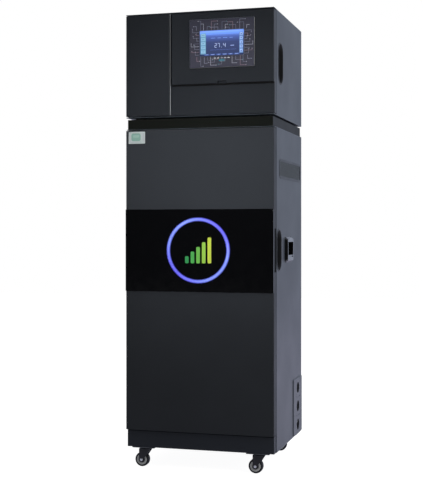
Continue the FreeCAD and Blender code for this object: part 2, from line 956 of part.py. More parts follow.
def screen_flap():
    """Shallow pan that carries the touch panel and turns about pins at its top edge."""
    outer = prism("x", flap_left, half_width, [
        (door_front, flap_bottom, door_sheet),
        (flap_rear, flap_bottom, 0),
        (flap_rear, upper_door_top, flap_pin_inset),
        (door_front, upper_door_top, flap_nose_radius),
    ])
    inner = prism("x", flap_left + door_sheet, half_width - door_sheet, [
        (door_front + door_sheet, flap_bottom + door_sheet, 0),
        (flap_rear + sheet, flap_bottom + door_sheet, 0),
        (flap_rear + sheet, upper_door_top - door_sheet, 0),
        (door_front + door_sheet, upper_door_top - door_sheet, flap_nose_radius - door_sheet),
    ])
    notch_wall = flap_notch(door_front, flap_rear, door_sheet)
    within = block(flap_left, half_width, door_front, flap_rear, flap_bottom, upper_door_top)
    flap = outer.cut(inner).fuse(notch_wall.common(within)).cut(flap_notch(door_front, flap_rear, 0))
    half_cut_width = housing_width / 2 + housing_cut_gap
    half_cut_height = housing_height / 2 + housing_cut_gap
    flap = flap.cut(
        block(
            flap_centre - half_cut_width, flap_centre + half_cut_width, door_front, door_front + door_sheet,
            panel_centre_z - half_cut_height, panel_centre_z + half_cut_height,
        )
    )
    for x in flap_ear_places():
        flap = flap.cut(
            block(
                x - flap_ear_clearance, x + flap_ear_thickness + flap_ear_clearance,
                flap_axis_y - flap_ear_reach, flap_rear,
                flap_axis_z, upper_door_top,
            )
        )
    bore = flap_pin_radius + running_clearance
    for x in (flap_left, half_width - door_sheet):
        flap = flap.cut(rod(bore, Vector(x, flap_axis_y, flap_axis_z), RIGHT, door_sheet))
    return flap.removeSplitter()


def upper_door_gasket():
    """Seal frame on the back of the upper door, and the black strip in the seam under the flap."""
    strip_top = flap_bottom - flap_running_gap
    strip = block(
        flap_left, half_width - door_sheet, upper_pan_front - flap_seal_thickness, upper_pan_front,
        strip_top - flap_seal_height, strip_top,
    )
    return [door_gasket(upper_door_bottom, upper_door_top), strip]


def touch_panel():
    """Moulded bezel and rear housing of the operator panel, with a shallow seat for the screen."""
    bezel = block(
        flap_centre - panel_width / 2, flap_centre + panel_width / 2, front_face, door_front,
        panel_centre_z - panel_height / 2, panel_centre_z + panel_height / 2,
    )
    bezel = bezel.makeChamfer(panel_edge_cut, [
        edge for edge in bezel.Edges if abs(edge.BoundBox.YMax - front_face) < 1e-6
    ])
    housing = block(
        flap_centre - housing_width / 2, flap_centre + housing_width / 2, door_front, door_front + housing_reach,
        panel_centre_z - housing_height / 2, panel_centre_z + housing_height / 2,
    )
    seat = block(
        flap_centre - screen_width / 2 - screen_play, flap_centre + screen_width / 2 + screen_play,
        front_face, front_face + screen_recess,
        panel_centre_z - screen_height / 2 - screen_play, panel_centre_z + screen_height / 2 + screen_play,
    )
    return bezel.fuse(housing).cut(seat).removeSplitter()


def touch_screen():
    """Glass of the screen in its seat."""
    return block(
        flap_centre - screen_width / 2, flap_centre + screen_width / 2, front_face + screen_play,
        front_face + screen_recess,
        panel_centre_z - screen_height / 2, panel_centre_z + screen_height / 2,
    )


def door_pivot_pins():
    """Four studs on the plates, with a square collar under each door that carries its weight."""
    length = door_gap + pivot_pin_reach
    half_collar = pivot_collar_side / 2
    pins = []
    for floor in (plinth_top, base_top):
        collar = block(
            pivot_x - half_collar, pivot_x + half_collar, pivot_y - half_collar, pivot_y + half_collar,
            floor, floor + door_gap - fit_gap,
        )
        pins.append(collar.fuse(rod(pivot_pin_radius, Vector(pivot_x, pivot_y, floor), UP, length)))
    for ceiling in (deck_bottom, cover_bottom):
        pins.append(rod(pivot_pin_radius, Vector(pivot_x, pivot_y, ceiling), -UP, length))
    return pins


def magnetic_catches():
    """Two catches per door on the front return of the right-hand wall."""
    catches = []
    left = half_width - front_flange + fit_gap
    for bottom, top in ((lower_door_bottom, lower_door_top), (upper_door_bottom, upper_door_top)):
        for z in (bottom + catch_end_distance, top - catch_end_distance - catch_height):
            catches.append(
                block(left, left + catch_width, door_rear + fit_gap, shell_front, z, z + catch_height)
            )
    return catches


# Casters


def caster_places():
    """Kingpin axes of the four casters by name."""
    right = half_width - caster_side_inset
    front = door_front + caster_front_inset
    back = rear_face - caster_front_inset
    return {"fl": (-right, front), "fr": (right, front), "rl": (-right, back), "rr": (right, back)}


crown_top = pan_bottom - caster_plate_thickness - caster_race_height
crown_bottom = crown_top - crown_thickness


def caster_plates():
    """Four mounting plates under the cabinet, each with its ball race."""
    plates = []
    for x, y in caster_places().values():
        plate = block(
            x - caster_plate_length / 2, x + caster_plate_length / 2, y - caster_plate_depth / 2,
            y + caster_plate_depth / 2, pan_bottom - caster_plate_thickness, pan_bottom,
        )
        race_bottom = crown_top + fit_gap
        race_height = pan_bottom - caster_plate_thickness - race_bottom
        race = prism("z", race_bottom, race_bottom + race_height, chamfered_rectangle(
            x, y, caster_race_width, caster_race_width, caster_race_cut
        ))
        plates.append(plate.fuse(race))
    return plates


def caster_fork(x, y):
    """Swivel fork: crown under the ball race, two tapered legs and the wheel axle between them."""
    wheel_x = x - caster_trail
    leg_inner = wheel_width / 2 + hub_lip + fork_side_gap
    leg_outer = leg_inner + fork_leg_thickness
    crown = prism("z", crown_bottom, crown_top, chamfered_rectangle(
        x, y, crown_length, 2 * leg_outer, crown_corner_cut
    ))
    spread = crown_length / 2 - crown_corner_cut
    foot = wheel_centre_z - fork_end_reach
    pieces = []
    for low, high in ((-leg_outer, -leg_inner), (leg_inner, leg_outer)):
        pieces.append(prism("y", y + low, y + high, [
            (x - spread, crown_bottom, 0),
            (x + spread, crown_bottom, 0),
            (wheel_x + fork_end_reach, foot + fork_end_cut, 0),
            (wheel_x + fork_end_reach - fork_end_cut, foot, 0),
            (wheel_x - fork_end_reach + fork_end_cut, foot, 0),
            (wheel_x - fork_end_reach, foot + fork_end_cut, 0),
        ]))
    pieces.append(rod(axle_radius, Vector(wheel_x, y - leg_inner, wheel_centre_z), BACK, 2 * leg_inner))
    return crown.multiFuse(pieces).removeSplitter()


def caster_wheel(x, y):
    """Wheel with a finely faceted tread that runs on the axle between the legs of the fork."""
    half = wheel_width / 2 + hub_lip
    wheel = prism("y", y - half, y + half, many_sided(x - caster_trail, wheel_centre_z, wheel_radius, tread_sides))
    bore_start = Vector(x - caster_trail, y - half, wheel_centre_z)
    return wheel.cut(rod(axle_radius + running_clearance, bore_start, BACK, 2 * half))


# Inside the lower cabinet


def bottle_columns():
    """X places of the reagent bottles."""
    return [(index - (bottle_count - 1) / 2) * bottle_spacing for index in range(bottle_count)]


def shelf():
    """Steel shelf between the side walls with lips all round and a slot for the reagent tubes."""
    front = door_front + shelf_front_back
    back = rear_inner - shelf_rear_gap
    outer = block(-side_inner, side_inner, front, back, shelf_top - shelf_lip, shelf_top)
    inner = block(
        -side_inner + sheet, side_inner - sheet, front + sheet, back - sheet, shelf_top - shelf_lip, shelf_bottom
    )
    reach = max(bottle_columns()) + shelf_slot_margin
    slot = block(
        -reach, reach, bottle_y - shelf_slot_width / 2, bottle_y + shelf_slot_width / 2, shelf_bottom, shelf_top
    )
    return outer.cut(inner).cut(slot)


def component_tray():
    """Folded white tray that stands on the shelf against the rear panel and carries the analysis parts."""
    half = side_inner - tray_side_gap
    top = shelf_top + tray_height
    outer = block(-half, half, tray_front, rear_inner, shelf_top, top)
    inner = block(-half + sheet, half - sheet, tray_front + sheet, rear_inner, shelf_top + sheet, top - sheet)
    return outer.cut(inner)


def bottle_profile(axis, middle):
    """A long bar with the side view of one bottle: upright sides and sloping shoulders."""
    half = bottle_side / 2
    narrow = half - bottle_shoulder
    return prism(axis, -half_width, half_width, [
        (middle - half, pan_top, 0),
        (middle + half, pan_top, 0),
        (middle + half, bottle_top - bottle_shoulder, 0),
        (middle + narrow, bottle_top, 0),
        (middle - narrow, bottle_top, 0),
        (middle - half, bottle_top - bottle_shoulder, 0),
    ])


def reagent_bottles():
    """A row of square reagent bottles with bevelled corners and sloping shoulders."""
    bottles = []
    for x in bottle_columns():
        plan = chamfered_rectangle(x, bottle_y, bottle_side, bottle_side, bottle_corner_cut)
        body = prism("z", pan_top, bottle_top, plan)
        bottles.append(body.common(bottle_profile("x", bottle_y)).common(bottle_profile("y", x)))
    return bottles


def bottle_caps():
    """Ribbed screw caps of the reagent bottles."""
    caps = []
    for x in bottle_columns():
        caps.append(prism("z", bottle_top, cap_top, many_sided(x, bottle_y, cap_radius, cap_ribs)))
    return caps


def waste_tank():
    """Waste canister behind the bottles with its screw cap."""
    front = bottle_y + bottle_side / 2 + waste_front_gap
    back = rear_inner - waste_rear_gap
    centre_y = (front + back) / 2
    top = pan_top + waste_height
    tank = prism("z", pan_top, top, chamfered_rectangle(
        0, centre_y, waste_width, back - front, bottle_corner_cut
    ))
    cap = prism("z", top, top + waste_cap_height, many_sided(0, centre_y, waste_cap_radius, cap_ribs))
    return tank.fuse(cap)


manifold_bottom = shelf_top + manifold_above_shelf
manifold_top = manifold_bottom + manifold_height


def reagent_tubes():
    """One straight tube from each bottle cap through the shelf slot to its port on the manifold."""
    length = manifold_bottom - cap_top
    return [rod(tube_radius, Vector(x, bottle_y, cap_top), UP, length) for x in bottle_columns()]


def valve_manifold():
    """Port block above the bottles with a solenoid in front of each port."""
    front = tray_front - manifold_depth
    middle = (manifold_bottom + manifold_top) / 2
    half = solenoid_side / 2
    pieces = []
    for x in bottle_columns():
        pieces.append(block(x - half, x + half, front - solenoid_length, front, middle - half, middle + half))
    body = block(-manifold_width / 2, manifold_width / 2, front, tray_front, manifold_bottom, manifold_top)
    return body.multiFuse(pieces).removeSplitter()


pump_face = tray_front - pump_plate_thickness
pump_head_front = pump_face - pump_head_depth


def pump_body():
    """Peristaltic pump head: square back plate and a horseshoe track that is open below."""
    z = shelf_top + pump_above_shelf
    plate = prism("y", pump_face, tray_front, chamfered_rectangle(
        pump_column, z, pump_plate_side, pump_plate_side, pump_plate_corner_cut
    ))
    horseshoe = prism("y", pump_head_front, pump_face, [
        (pump_column - pump_head_radius, z - pump_head_drop, 0),
        (pump_column + pump_head_radius, z - pump_head_drop, 0),
        (pump_column + pump_head_radius, z + pump_head_radius, pump_head_radius),
        (pump_column - pump_head_radius, z + pump_head_radius, pump_head_radius),
    ])
    track = rod(pump_track_radius, Vector(pump_column, pump_head_front, z), BACK, pump_head_depth)
    mouth = block(
        pump_column - pump_track_radius, pump_column + pump_track_radius, pump_head_front, pump_face,
        z - pump_head_drop, z,
    )
    body = plate.fuse(horseshoe.cut(track).cut(mouth)).removeSplitter()
    bore = pump_shaft_radius + running_clearance
    return body.cut(rod(bore, Vector(pump_column, pump_face, z), BACK, pump_plate_thickness))


pump_tube_outer = pump_track_radius - fit_gap
pump_tube_inner = pump_tube_outer - 2 * pump_tube_radius


def pump_tube():
    """Soft tube round the track of the pump, with both tails straight down to the manifold."""
    z = shelf_top + pump_above_shelf
    y = pump_face - pump_head_depth / 2
    return prism("y", y - pump_tube_radius, y + pump_tube_radius, [
        (pump_column - pump_tube_outer, manifold_top, 0),
        (pump_column - pump_tube_outer, z + pump_tube_outer, pump_tube_outer),
        (pump_column + pump_tube_outer, z + pump_tube_outer, pump_tube_outer),
        (pump_column + pump_tube_outer, manifold_top, 0),
        (pump_column + pump_tube_inner, manifold_top, 0),
        (pump_column + pump_tube_inner, z + pump_tube_inner, pump_tube_inner),
        (pump_column - pump_tube_inner, z + pump_tube_inner, pump_tube_inner),
        (pump_column - pump_tube_inner, manifold_top, 0),
    ])


def pump_rotor():
    """Rotor of the pump: a six-sided plate with the rollers in front of it and the drive shaft."""
    z = shelf_top + pump_above_shelf
    front = pump_head_front + rotor_end_gap
    reach = pump_tube_inner - fit_gap - roller_radius / math.cos(math.pi / roller_sides)
    plate_back = pump_face - rotor_end_gap
    plate_front = plate_back - rotor_plate_thickness
    pieces = [prism("y", plate_front, plate_back, many_sided(pump_column, z, rotor_plate_radius, 2 * roller_count))]
    for index in range(roller_count):
        angle = 2 * math.pi * index / roller_count + math.pi / 2
        u = pump_column + reach * math.cos(angle)
        v = z + reach * math.sin(angle)
        pieces.append(prism("y", front, plate_front, many_sided(u, v, roller_radius, roller_sides)))
    shaft = rod(pump_shaft_radius, Vector(pump_column, front, z), BACK, tray_front - front)
    return shaft.multiFuse(pieces).removeSplitter()


digester_bottom = shelf_top + digester_above_shelf
digester_middle_y = tray_front - digester_depth / 2


def digester_housing():
    """Safety housing of the digester: a windowed shell with a heating block at each end."""
    top = digester_bottom + digester_height
    front = tray_front - digester_depth
    outer = prism("z", digester_bottom, top, [
        (digester_column - digester_width / 2, tray_front, 0),
        (digester_column - digester_width / 2, front, digester_corner_radius),
        (digester_column + digester_width / 2, front, digester_corner_radius),
        (digester_column + digester_width / 2, tray_front, 0),
    ])
    inner = block(
        digester_column - digester_width / 2 + digester_wall, digester_column + digester_width / 2 - digester_wall,
        front + digester_wall, tray_front - digester_wall,
        digester_bottom + digester_block, top - digester_block,
    )
    middle = (digester_bottom + top) / 2
    window = block(
        digester_column - digester_window_width / 2, digester_column + digester_window_width / 2,
        front, front + digester_wall, middle - digester_window_height / 2, middle + digester_window_height / 2,
    )
    return outer.cut(inner).cut(window)


def digester_tube():
    """Glass digestion vessel between the two heating blocks."""
    start = Vector(digester_column, digester_middle_y, digester_bottom + digester_block)
    length = digester_height - 2 * digester_block
    glass = rod(glass_outer_radius, start, UP, length)
    return glass.cut(rod(glass_outer_radius - glass_wall, start, UP, length))


# Inside the upper housing


def power_supply():
    """Mains power supply on the rear panel with cooling ribs on its front."""
    low = base_top + component_inset_above_base
    front = rear_inner - supply_depth
    body = block(
        supply_column - supply_width / 2, supply_column + supply_width / 2, front, rear_inner,
        low, low + supply_height,
    )
    pitch = supply_width / supply_fin_count
    fins = []
    for index in range(supply_fin_count):
        x = supply_column - supply_width / 2 + (index + 0.5) * pitch
        fins.append(
            block(x - supply_fin_thickness / 2, x + supply_fin_thickness / 2, front - supply_fin_height, front,
                  low, low + supply_height)
        )
    return body.multiFuse(fins).removeSplitter()


def terminal_rail():
    """Mounting rail on the rear panel with a row of terminal blocks."""
    z = base_top + rail_above_base
    front = rear_inner - rail_depth
    rail = block(
        rail_column - rail_width / 2, rail_column + rail_width / 2, front, rear_inner,
        z - rail_height / 2, z + rail_height / 2,
    )
    solids = [rail]
    for index in range(terminal_count):
        x = rail_column + (index - (terminal_count - 1) / 2) * terminal_pitch
        solids.append(prism("x", x - terminal_width / 2, x + terminal_width / 2, [
            (front, z - terminal_height / 2, 0),
            (front, z + terminal_height / 2, 0),
            (front - terminal_depth / 2, z + terminal_height / 2, 0),
            (front - terminal_depth, z + terminal_height / 4, 0),
            (front - terminal_depth, z - terminal_height / 4, 0),
            (front - terminal_depth / 2, z - terminal_height / 2, 0),
        ]))
    return solids


def control_unit():
    """Controller box on the rear panel with a row of sockets along its lower edge."""
    low = base_top + control_above_base
    front = rear_inner - control_depth
    body = block(
        control_column - control_width / 2, control_column + control_width / 2, front, rear_inner,
        low, low + control_height,
    )
    sockets = []
    for index in range(control_socket_count):
        x = control_column + (index - (control_socket_count - 1) / 2) * control_socket_pitch
        sockets.append(
            block(x - control_socket_width / 2, x + control_socket_width / 2, front - control_socket_reach, front,
                  low + control_socket_height, low + 2 * control_socket_height)
        )
    return body.multiFuse(sockets).removeSplitter()


fan_z = base_top + fan_above_base
fan_front = rear_inner - fan_depth
stator_front = rear_inner - fan_stator_depth


def fan_frame():
    """Square fan frame with a round duct and two crossed struts that carry the shaft."""
    frame = prism("y", fan_front, rear_inner, chamfered_rectangle(
        fan_column, fan_z, fan_side, fan_side, fan_corner_cut
    ))
    frame = frame.cut(rod(fan_bore_radius, Vector(fan_column, fan_front, fan_z), BACK, fan_depth))
    half_strut = fan_strut_width / 2
    reach = fan_bore_radius + half_strut
    pieces = [
        block(fan_column - reach, fan_column + reach, stator_front, rear_inner, fan_z - half_strut, fan_z + half_strut),
        block(fan_column - half_strut, fan_column + half_strut, stator_front, rear_inner, fan_z - reach, fan_z + reach),
    ]
    frame = frame.multiFuse(pieces).removeSplitter()
    bore = fan_shaft_radius + running_clearance
    return frame.cut(rod(bore, Vector(fan_column, stator_front, fan_z), BACK, fan_stator_depth))


def fan_rotor():
    """Fan hub with pitched blades and its shaft."""
    back = stator_front - fan_tip_gap
    front = fan_front + fan_tip_gap
    hub = prism("y", front, back, many_sided(fan_column, fan_z, fan_hub_radius, fan_hub_sides))
    shaft = rod(fan_shaft_radius, Vector(fan_column, back, fan_z), BACK, rear_inner - back)
    middle_y = (front + back) / 2
    half_chord = fan_blade_chord / 2
    tip = math.sqrt((fan_bore_radius - fan_tip_gap) ** 2 - half_chord**2)
    root = fan_hub_radius / 2
    blades = []
    for index in range(fan_blade_count):
        blade = block(
            -fan_blade_thickness / 2, fan_blade_thickness / 2, -half_chord, half_chord, root, tip
        )
        blade.rotate(Vector(0, 0, 0), UP, fan_blade_angle)
        blade.translate(Vector(fan_column, middle_y, fan_z))
        blade.rotate(Vector(fan_column, middle_y, fan_z), BACK, 360 * index / fan_blade_count)
        blades.append(blade)
    return hub.multiFuse(blades + [shaft]).removeSplitter()


def export(name, pieces):
    """Write one node, a single solid or a group of separate solids, to its own file."""
    if not isinstance(pieces, list):
        pieces = [pieces]
    solids = []
    for piece in pieces:
        solids.extend(piece.Solids)
    shape = solids[0] if len(solids) == 1 else Part.makeCompound(solids)
    if not shape.isValid():
        print("not valid:", name)
    shape.exportStep("parts/" + name + ".step")


nodes = {
    "base_pan": base_pan(),
    "plinth": plinth(),
    "right_side_panel": lower_side(True),
    "left_side_panel": mirrored(lower_side(False)),
    "rear_panel": rear_panel(),
    "top_deck": top_deck(),
    "neck_frame": neck_frame(),
    "neck_feet": neck_feet(),
    "upper_base_plate": upper_base_plate(),
    "upper_right_side": upper_side(True),
    "upper_left_side": mirrored(upper_side(False)),
    "upper_top_cover": upper_top_cover(),
    "upper_rear_panel": upper_rear_panel(),
    "pull_cups": pull_cups(),
    "side_handles": side_handles(),
    "vent_grilles": vent_grilles(),
    "port_plate": port_plate(),
    "port_blocks": port_blocks(),
    "door_pivot_pins": door_pivot_pins(),
    "magnetic_catches": magnetic_catches(),
    "caster_plates": caster_plates(),
    "shelf": shelf(),
    "component_tray": component_tray(),
    "reagent_bottles": reagent_bottles(),
    "bottle_caps": bottle_caps(),
    "waste_tank": waste_tank(),
    "reagent_tubes": reagent_tubes(),
    "valve_manifold": valve_manifold(),
    "pump_body": pump_body(),
    "pump_tube": pump_tube(),
    "digester_housing": digester_housing(),
    "digester_tube": digester_tube(),
    "power_supply": power_supply(),
    "terminal_rail": terminal_rail(),
    "control_unit": control_unit(),
    "fan_frame": fan_frame(),
    "lower_door_skin": lower_door_skin(),
    "lower_door_liner": lower_door_liner(),
    "fascia_panel": fascia_panel(),
    "light_ring": light_ring(),
    "lower_door_gasket": door_gasket(lower_door_bottom, lower_door_top),
    "upper_door_pan": upper_door_pan(),
    "left_cover_panel": left_cover_panel(),
    "upper_door_gasket": upper_door_gasket(),
    "screen_flap": screen_flap(),
    "touch_panel": touch_panel(),
    "touch_screen": touch_screen(),
    "pump_rotor": pump_rotor(),
    "fan_rotor": fan_rotor(),
}
for corner, (x, y) in caster_places().items():
    nodes["caster_fork_" + corner] = caster_fork(x, y)
    nodes["caster_wheel_" + corner] = caster_wheel(x, y)

os.makedirs("parts", exist_ok=True)
for name, pieces in nodes.items():
    export(name, pieces)
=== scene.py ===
import math

import bpy
import numpy as np
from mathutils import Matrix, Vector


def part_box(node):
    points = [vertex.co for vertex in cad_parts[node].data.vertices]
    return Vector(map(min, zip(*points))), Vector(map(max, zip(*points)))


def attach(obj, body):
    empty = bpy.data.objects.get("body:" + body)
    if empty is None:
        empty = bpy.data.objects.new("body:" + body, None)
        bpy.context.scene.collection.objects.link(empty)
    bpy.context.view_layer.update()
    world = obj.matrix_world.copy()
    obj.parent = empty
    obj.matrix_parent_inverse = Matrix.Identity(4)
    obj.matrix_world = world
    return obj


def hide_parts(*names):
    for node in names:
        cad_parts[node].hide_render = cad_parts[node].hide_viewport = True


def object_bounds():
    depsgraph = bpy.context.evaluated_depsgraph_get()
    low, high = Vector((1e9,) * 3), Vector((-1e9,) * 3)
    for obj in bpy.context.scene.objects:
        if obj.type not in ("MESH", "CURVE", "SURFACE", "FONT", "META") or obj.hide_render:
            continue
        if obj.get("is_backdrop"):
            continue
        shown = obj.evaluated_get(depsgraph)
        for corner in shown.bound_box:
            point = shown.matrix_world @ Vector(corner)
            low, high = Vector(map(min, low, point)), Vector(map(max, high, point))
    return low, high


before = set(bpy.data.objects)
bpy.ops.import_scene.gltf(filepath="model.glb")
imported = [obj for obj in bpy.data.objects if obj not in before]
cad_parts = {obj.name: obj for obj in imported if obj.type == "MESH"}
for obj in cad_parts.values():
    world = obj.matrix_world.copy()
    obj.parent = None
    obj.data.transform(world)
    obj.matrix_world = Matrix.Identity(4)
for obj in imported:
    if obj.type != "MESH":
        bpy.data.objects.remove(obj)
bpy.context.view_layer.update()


# The studio: a pale floor that runs out into a white surround, and soft light from the upper right.
# Lamps and world keep the paint at a plain level; the room behind the camera is dark, so gloss seen
# from the front stays deep and only grazing views, such as the side wall's, mirror the white.

mm = 0.001
camera_place = (1.0402, -3.7350, 0.8246)
camera_turn = math.radians(15.853)
camera_lens = 80.46
camera_shift = -0.0209
floor_half = 9.0
daylight = 0.27
dark_side = 0.05
floor_glow = 0.94
dark_near = -1.1
dark_far = 0.5


def linear(code):
    """An sRGB hex colour as linear values: c / 12.92 up to 0.04045, else ((c + 0.055) / 1.055) ** 2.4."""
    parts = [int(code[i : i + 2], 16) / 255 for i in (1, 3, 5)]
    return [c / 12.92 if c <= 0.04045 else ((c + 0.055) / 1.055) ** 2.4 for c in parts] + [1.0]


def fill(node, inputs):
    """Links inputs to the sockets given, or to the first output of a node given, and sets the others."""
    for key, value in inputs.items():
        source = value.outputs[0] if isinstance(value, bpy.types.Node) else value
        if isinstance(source, bpy.types.NodeSocket):
            node.id_data.links.new(source, node.inputs[key])
        else:
            node.inputs[key].default_value = source


def add(tree, kind, inputs=None, **settings):
    """Adds one node with its settings and its inputs."""
    node = tree.nodes.new("ShaderNode" + kind)
    for key, value in settings.items():
        setattr(node, key, value)
    fill(node, inputs or {})
    return node


camera_data = bpy.data.cameras.new("camera")
camera_data.lens = camera_lens
camera_data.shift_y = camera_shift
camera = bpy.data.objects.new("camera", camera_data)
camera.location = camera_place
camera.rotation_euler = (math.pi / 2, 0, camera_turn)
bpy.context.scene.collection.objects.link(camera)
bpy.context.scene.camera = camera
bpy.context.scene.view_settings.view_transform = "Standard"

world = bpy.data.worlds.new("studio")
bpy.context.scene.world = world
world.use_nodes = True
sky = world.node_tree
sky.nodes.clear()
rays = add(sky, "LightPath")
direction = add(sky, "TexCoord")
along = add(sky, "SeparateXYZ", {0: direction.outputs["Generated"]})
backdrop = add(sky, "MapRange", {0: along.outputs["Y"], 1: -0.35, 2: 0.25, 3: dark_side, 4: 1.0})
gloss, clear = rays.outputs["Is Glossy Ray"], rays.outputs["Is Transmission Ray"]
mirrors = add(sky, "Math", {0: gloss, 1: clear}, operation="MAXIMUM")
reflected = add(sky, "Mix", {0: mirrors, 2: daylight, 3: backdrop})
seen = add(sky, "Mix", {0: rays.outputs["Is Camera Ray"], 2: reflected, 3: 1.0})
cool = add(sky, "Mix", {0: mirrors, 6: linear("#ffffff"), 7: linear("#d9e3fa")}, data_type="RGBA")
surround = add(sky, "Background", {"Color": cool.outputs[2], "Strength": seen})
add(sky, "OutputWorld", {"Surface": surround})


def lamp(name, place, target, size, power, mirrored=False, spread=180):
    """A square soft lamp at a place, turned to the target. Gloss shows it only if it is mirrored."""
    data = bpy.data.lights.new(name, "AREA")
    data.size = size
    data.energy = power
    data.spread = math.radians(spread)
    made = bpy.data.objects.new(name, data)
    made.location = place
    back = np.array(place) - np.array(target)
    tilt = math.atan2(np.hypot(back[0], back[1]), back[2])
    made.rotation_euler = (tilt, 0, math.atan2(back[0], -back[1]))
    bpy.context.scene.collection.objects.link(made)
    made.visible_glossy = mirrored


lamp("key_lamp", (3.8, -1.5, 2.6), (0, 0, 1.0), 2.0, 46, mirrored=True)
lamp("fill_lamp", (-0.2, -2.4, 1.3), (0.1, -0.23, 1.1), 0.6, 2.1, spread=38)
lamp("top_lamp", (0.4, 0.9, 4.0), (0, 0, 0.8), 2.0, 40)

floor_mesh = bpy.data.meshes.new("floor")
corners = np.array([(-1, -1, 0), (1, -1, 0), (1, 1, 0), (-1, 1, 0)], float) * floor_half
floor_mesh.from_pydata(corners, [], [(0, 1, 2, 3)])
floor = bpy.data.objects.new("floor", floor_mesh)
bpy.context.scene.collection.objects.link(floor)
floor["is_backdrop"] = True
pale_floor = bpy.data.materials.new("pale_studio_floor")
pale_floor.use_nodes = True
tree = pale_floor.node_tree
tree.nodes.clear()
rays = add(tree, "LightPath")
along = add(tree, "SeparateXYZ", {0: add(tree, "TexCoord").outputs["Object"]})
graded = add(tree, "MapRange", {0: along.outputs["Y"], 1: dark_near, 2: dark_far, 3: dark_side, 4: 1.0})
gloss, clear = rays.outputs["Is Glossy Ray"], rays.outputs["Is Transmission Ray"]
mirrors = add(tree, "Math", {0: gloss, 1: clear}, operation="MAXIMUM")
reflected = add(tree, "Math", {0: mirrors, 1: graded}, operation="MULTIPLY")
watched = add(tree, "Math", {0: rays.outputs["Is Camera Ray"], 1: reflected}, operation="MAXIMUM")
glow = add(tree, "Math", {0: watched, 1: floor_glow}, operation="MULTIPLY")
cool = add(tree, "Mix", {0: mirrors, 6: linear("#ffffff"), 7: linear("#dadcff")}, data_type="RGBA")
white = add(tree, "Emission", {"Color": cool.outputs[2], "Strength": glow})
matt = add(tree, "BsdfDiffuse", {"Color": linear("#b9b9b8")})
both = add(tree, "AddShader", {0: white, 1: matt})
add(tree, "OutputMaterial", {"Surface": both})
floor_mesh.materials.append(pale_floor)


# The lower cabinet's walls and deck: folded steel sheet, 2 mm, powder coated charcoal after folding.
# The coat has a shallow orange peel, a soft sheen and edges that are a little lighter where it is thin.

wall_colour = "#373d44"
coat_roughness = 0.46
peel_size = 5.0 * mm
cloud_size = 260.0 * mm
edge_round = 1.3 * mm


def material(name):
    """A new material with its node tree, its shader and its Object coordinates."""
    made = bpy.data.materials.new(name)
    made.use_nodes = True
    tree = made.node_tree
    return made, tree, tree.nodes["Principled BSDF"], add(tree, "TexCoord").outputs["Object"]


def coated(name, colour, roughness, sheen=0.5, peel=peel_size, bump=0.12):
    """Powder coat on steel: clouds of tone wider than a hand, an orange peel and soft, paler edges.
    The peel of the real coat is under 2 mm wide, and is drawn wider so that it shows."""
    made, tree, shader, place = material(name)
    drift = {"Vector": place, "Scale": 1 / cloud_size, "Detail": 3.0, "Roughness": 0.6}
    clouds = add(tree, "TexNoise", drift)
    grain = add(tree, "TexNoise", {"Vector": place, "Scale": 1 / peel, "Detail": 2.0, "Roughness": 0.55})
    tone = add(tree, "MapRange", {0: clouds, 1: 0.3, 2: 0.7, 3: 0.93, 4: 1.07})
    base = add(tree, "VectorMath", {0: linear(colour)[:3], "Scale": tone}, operation="SCALE")
    corner = add(tree, "Bevel", {"Radius": edge_round}, samples=4)
    flat = add(tree, "NewGeometry").outputs["Normal"]
    match = add(tree, "VectorMath", {0: corner, 1: flat}, operation="DOT_PRODUCT")
    edge = add(tree, "MapRange", {0: match.outputs["Value"], 1: 0.995, 2: 0.80, 3: 0.0, 4: 0.75})
    pale = [min(1.0, 3.0 * c + 0.03) for c in linear(colour)[:3]] + [1.0]
    worn = add(tree, "Mix", {0: edge, 6: base, 7: pale}, data_type="RGBA")
    rough = add(tree, "MapRange", {0: clouds, 1: 0.3, 2: 0.7, 3: roughness - 0.04, 4: roughness + 0.05})
    relief = add(tree, "Bump", {"Height": grain, "Distance": 0.1 * mm, "Strength": bump, "Normal": corner})
    fill(shader, {
        "Base Color": worn.outputs[2],
        "Roughness": rough,
        "Normal": relief,
        "Specular IOR Level": sheen,
        "IOR": 1.5,
    })
    return made


def dress(finish, *names):
    """Gives CAD nodes one finish."""
    for name in names:
        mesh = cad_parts[name].data
        mesh.materials.clear()
        mesh.materials.append(finish)


charcoal_wall = coated("powder_coat_charcoal_wall", wall_colour, coat_roughness, sheen=0.38)
dress(charcoal_wall, "right_side_panel", "left_side_panel", "rear_panel", "top_deck")


# The plinth and the base pan: the plinth is a folded strip in the same coat, a shade bluer from its
# own batch; the pan is bare galvanised sheet with the large flat crystals of hot-dipped zinc.

plinth_colour = "#2e3239"
zinc_colour = "#5d6062"
crystal_size = 14.0 * mm


def galvanised(name, colour, crystal):
    """Hot-dipped zinc: crystal patches, each with its own tone and gloss, as cells of a Voronoi pattern."""
    made, tree, shader, place = material(name)
    cells = add(tree, "TexVoronoi", {"Vector": place, "Scale": 1 / crystal})
    tint = add(tree, "SeparateColor", {0: cells.outputs["Color"]})
    tone = add(tree, "MapRange", {0: tint, 3: 0.78, 4: 1.05})
    base = add(tree, "VectorMath", {0: linear(colour)[:3], "Scale": tone}, operation="SCALE")
    rough = add(tree, "MapRange", {0: tint.outputs[1], 3: 0.34, 4: 0.52})
    corner = add(tree, "Bevel", {"Radius": 0.6 * mm}, samples=4)
    fill(shader, {"Base Color": base, "Roughness": rough, "Normal": corner, "Metallic": 0.85})
    return made


plinth_coat = coated("powder_coat_plinth", plinth_colour, 0.52, sheen=0.25)
galvanised_sheet = galvanised("galvanised_sheet", zinc_colour, crystal_size)
dress(plinth_coat, "plinth")
dress(galvanised_sheet, "base_pan")


# Four swivel casters, 50 mm: a black rubber tyre moulded on a nylon wheel with a pale rim ring and a
# plated axle, in a fork pressed from black-lacquered steel that turns on a ball race under its plate.

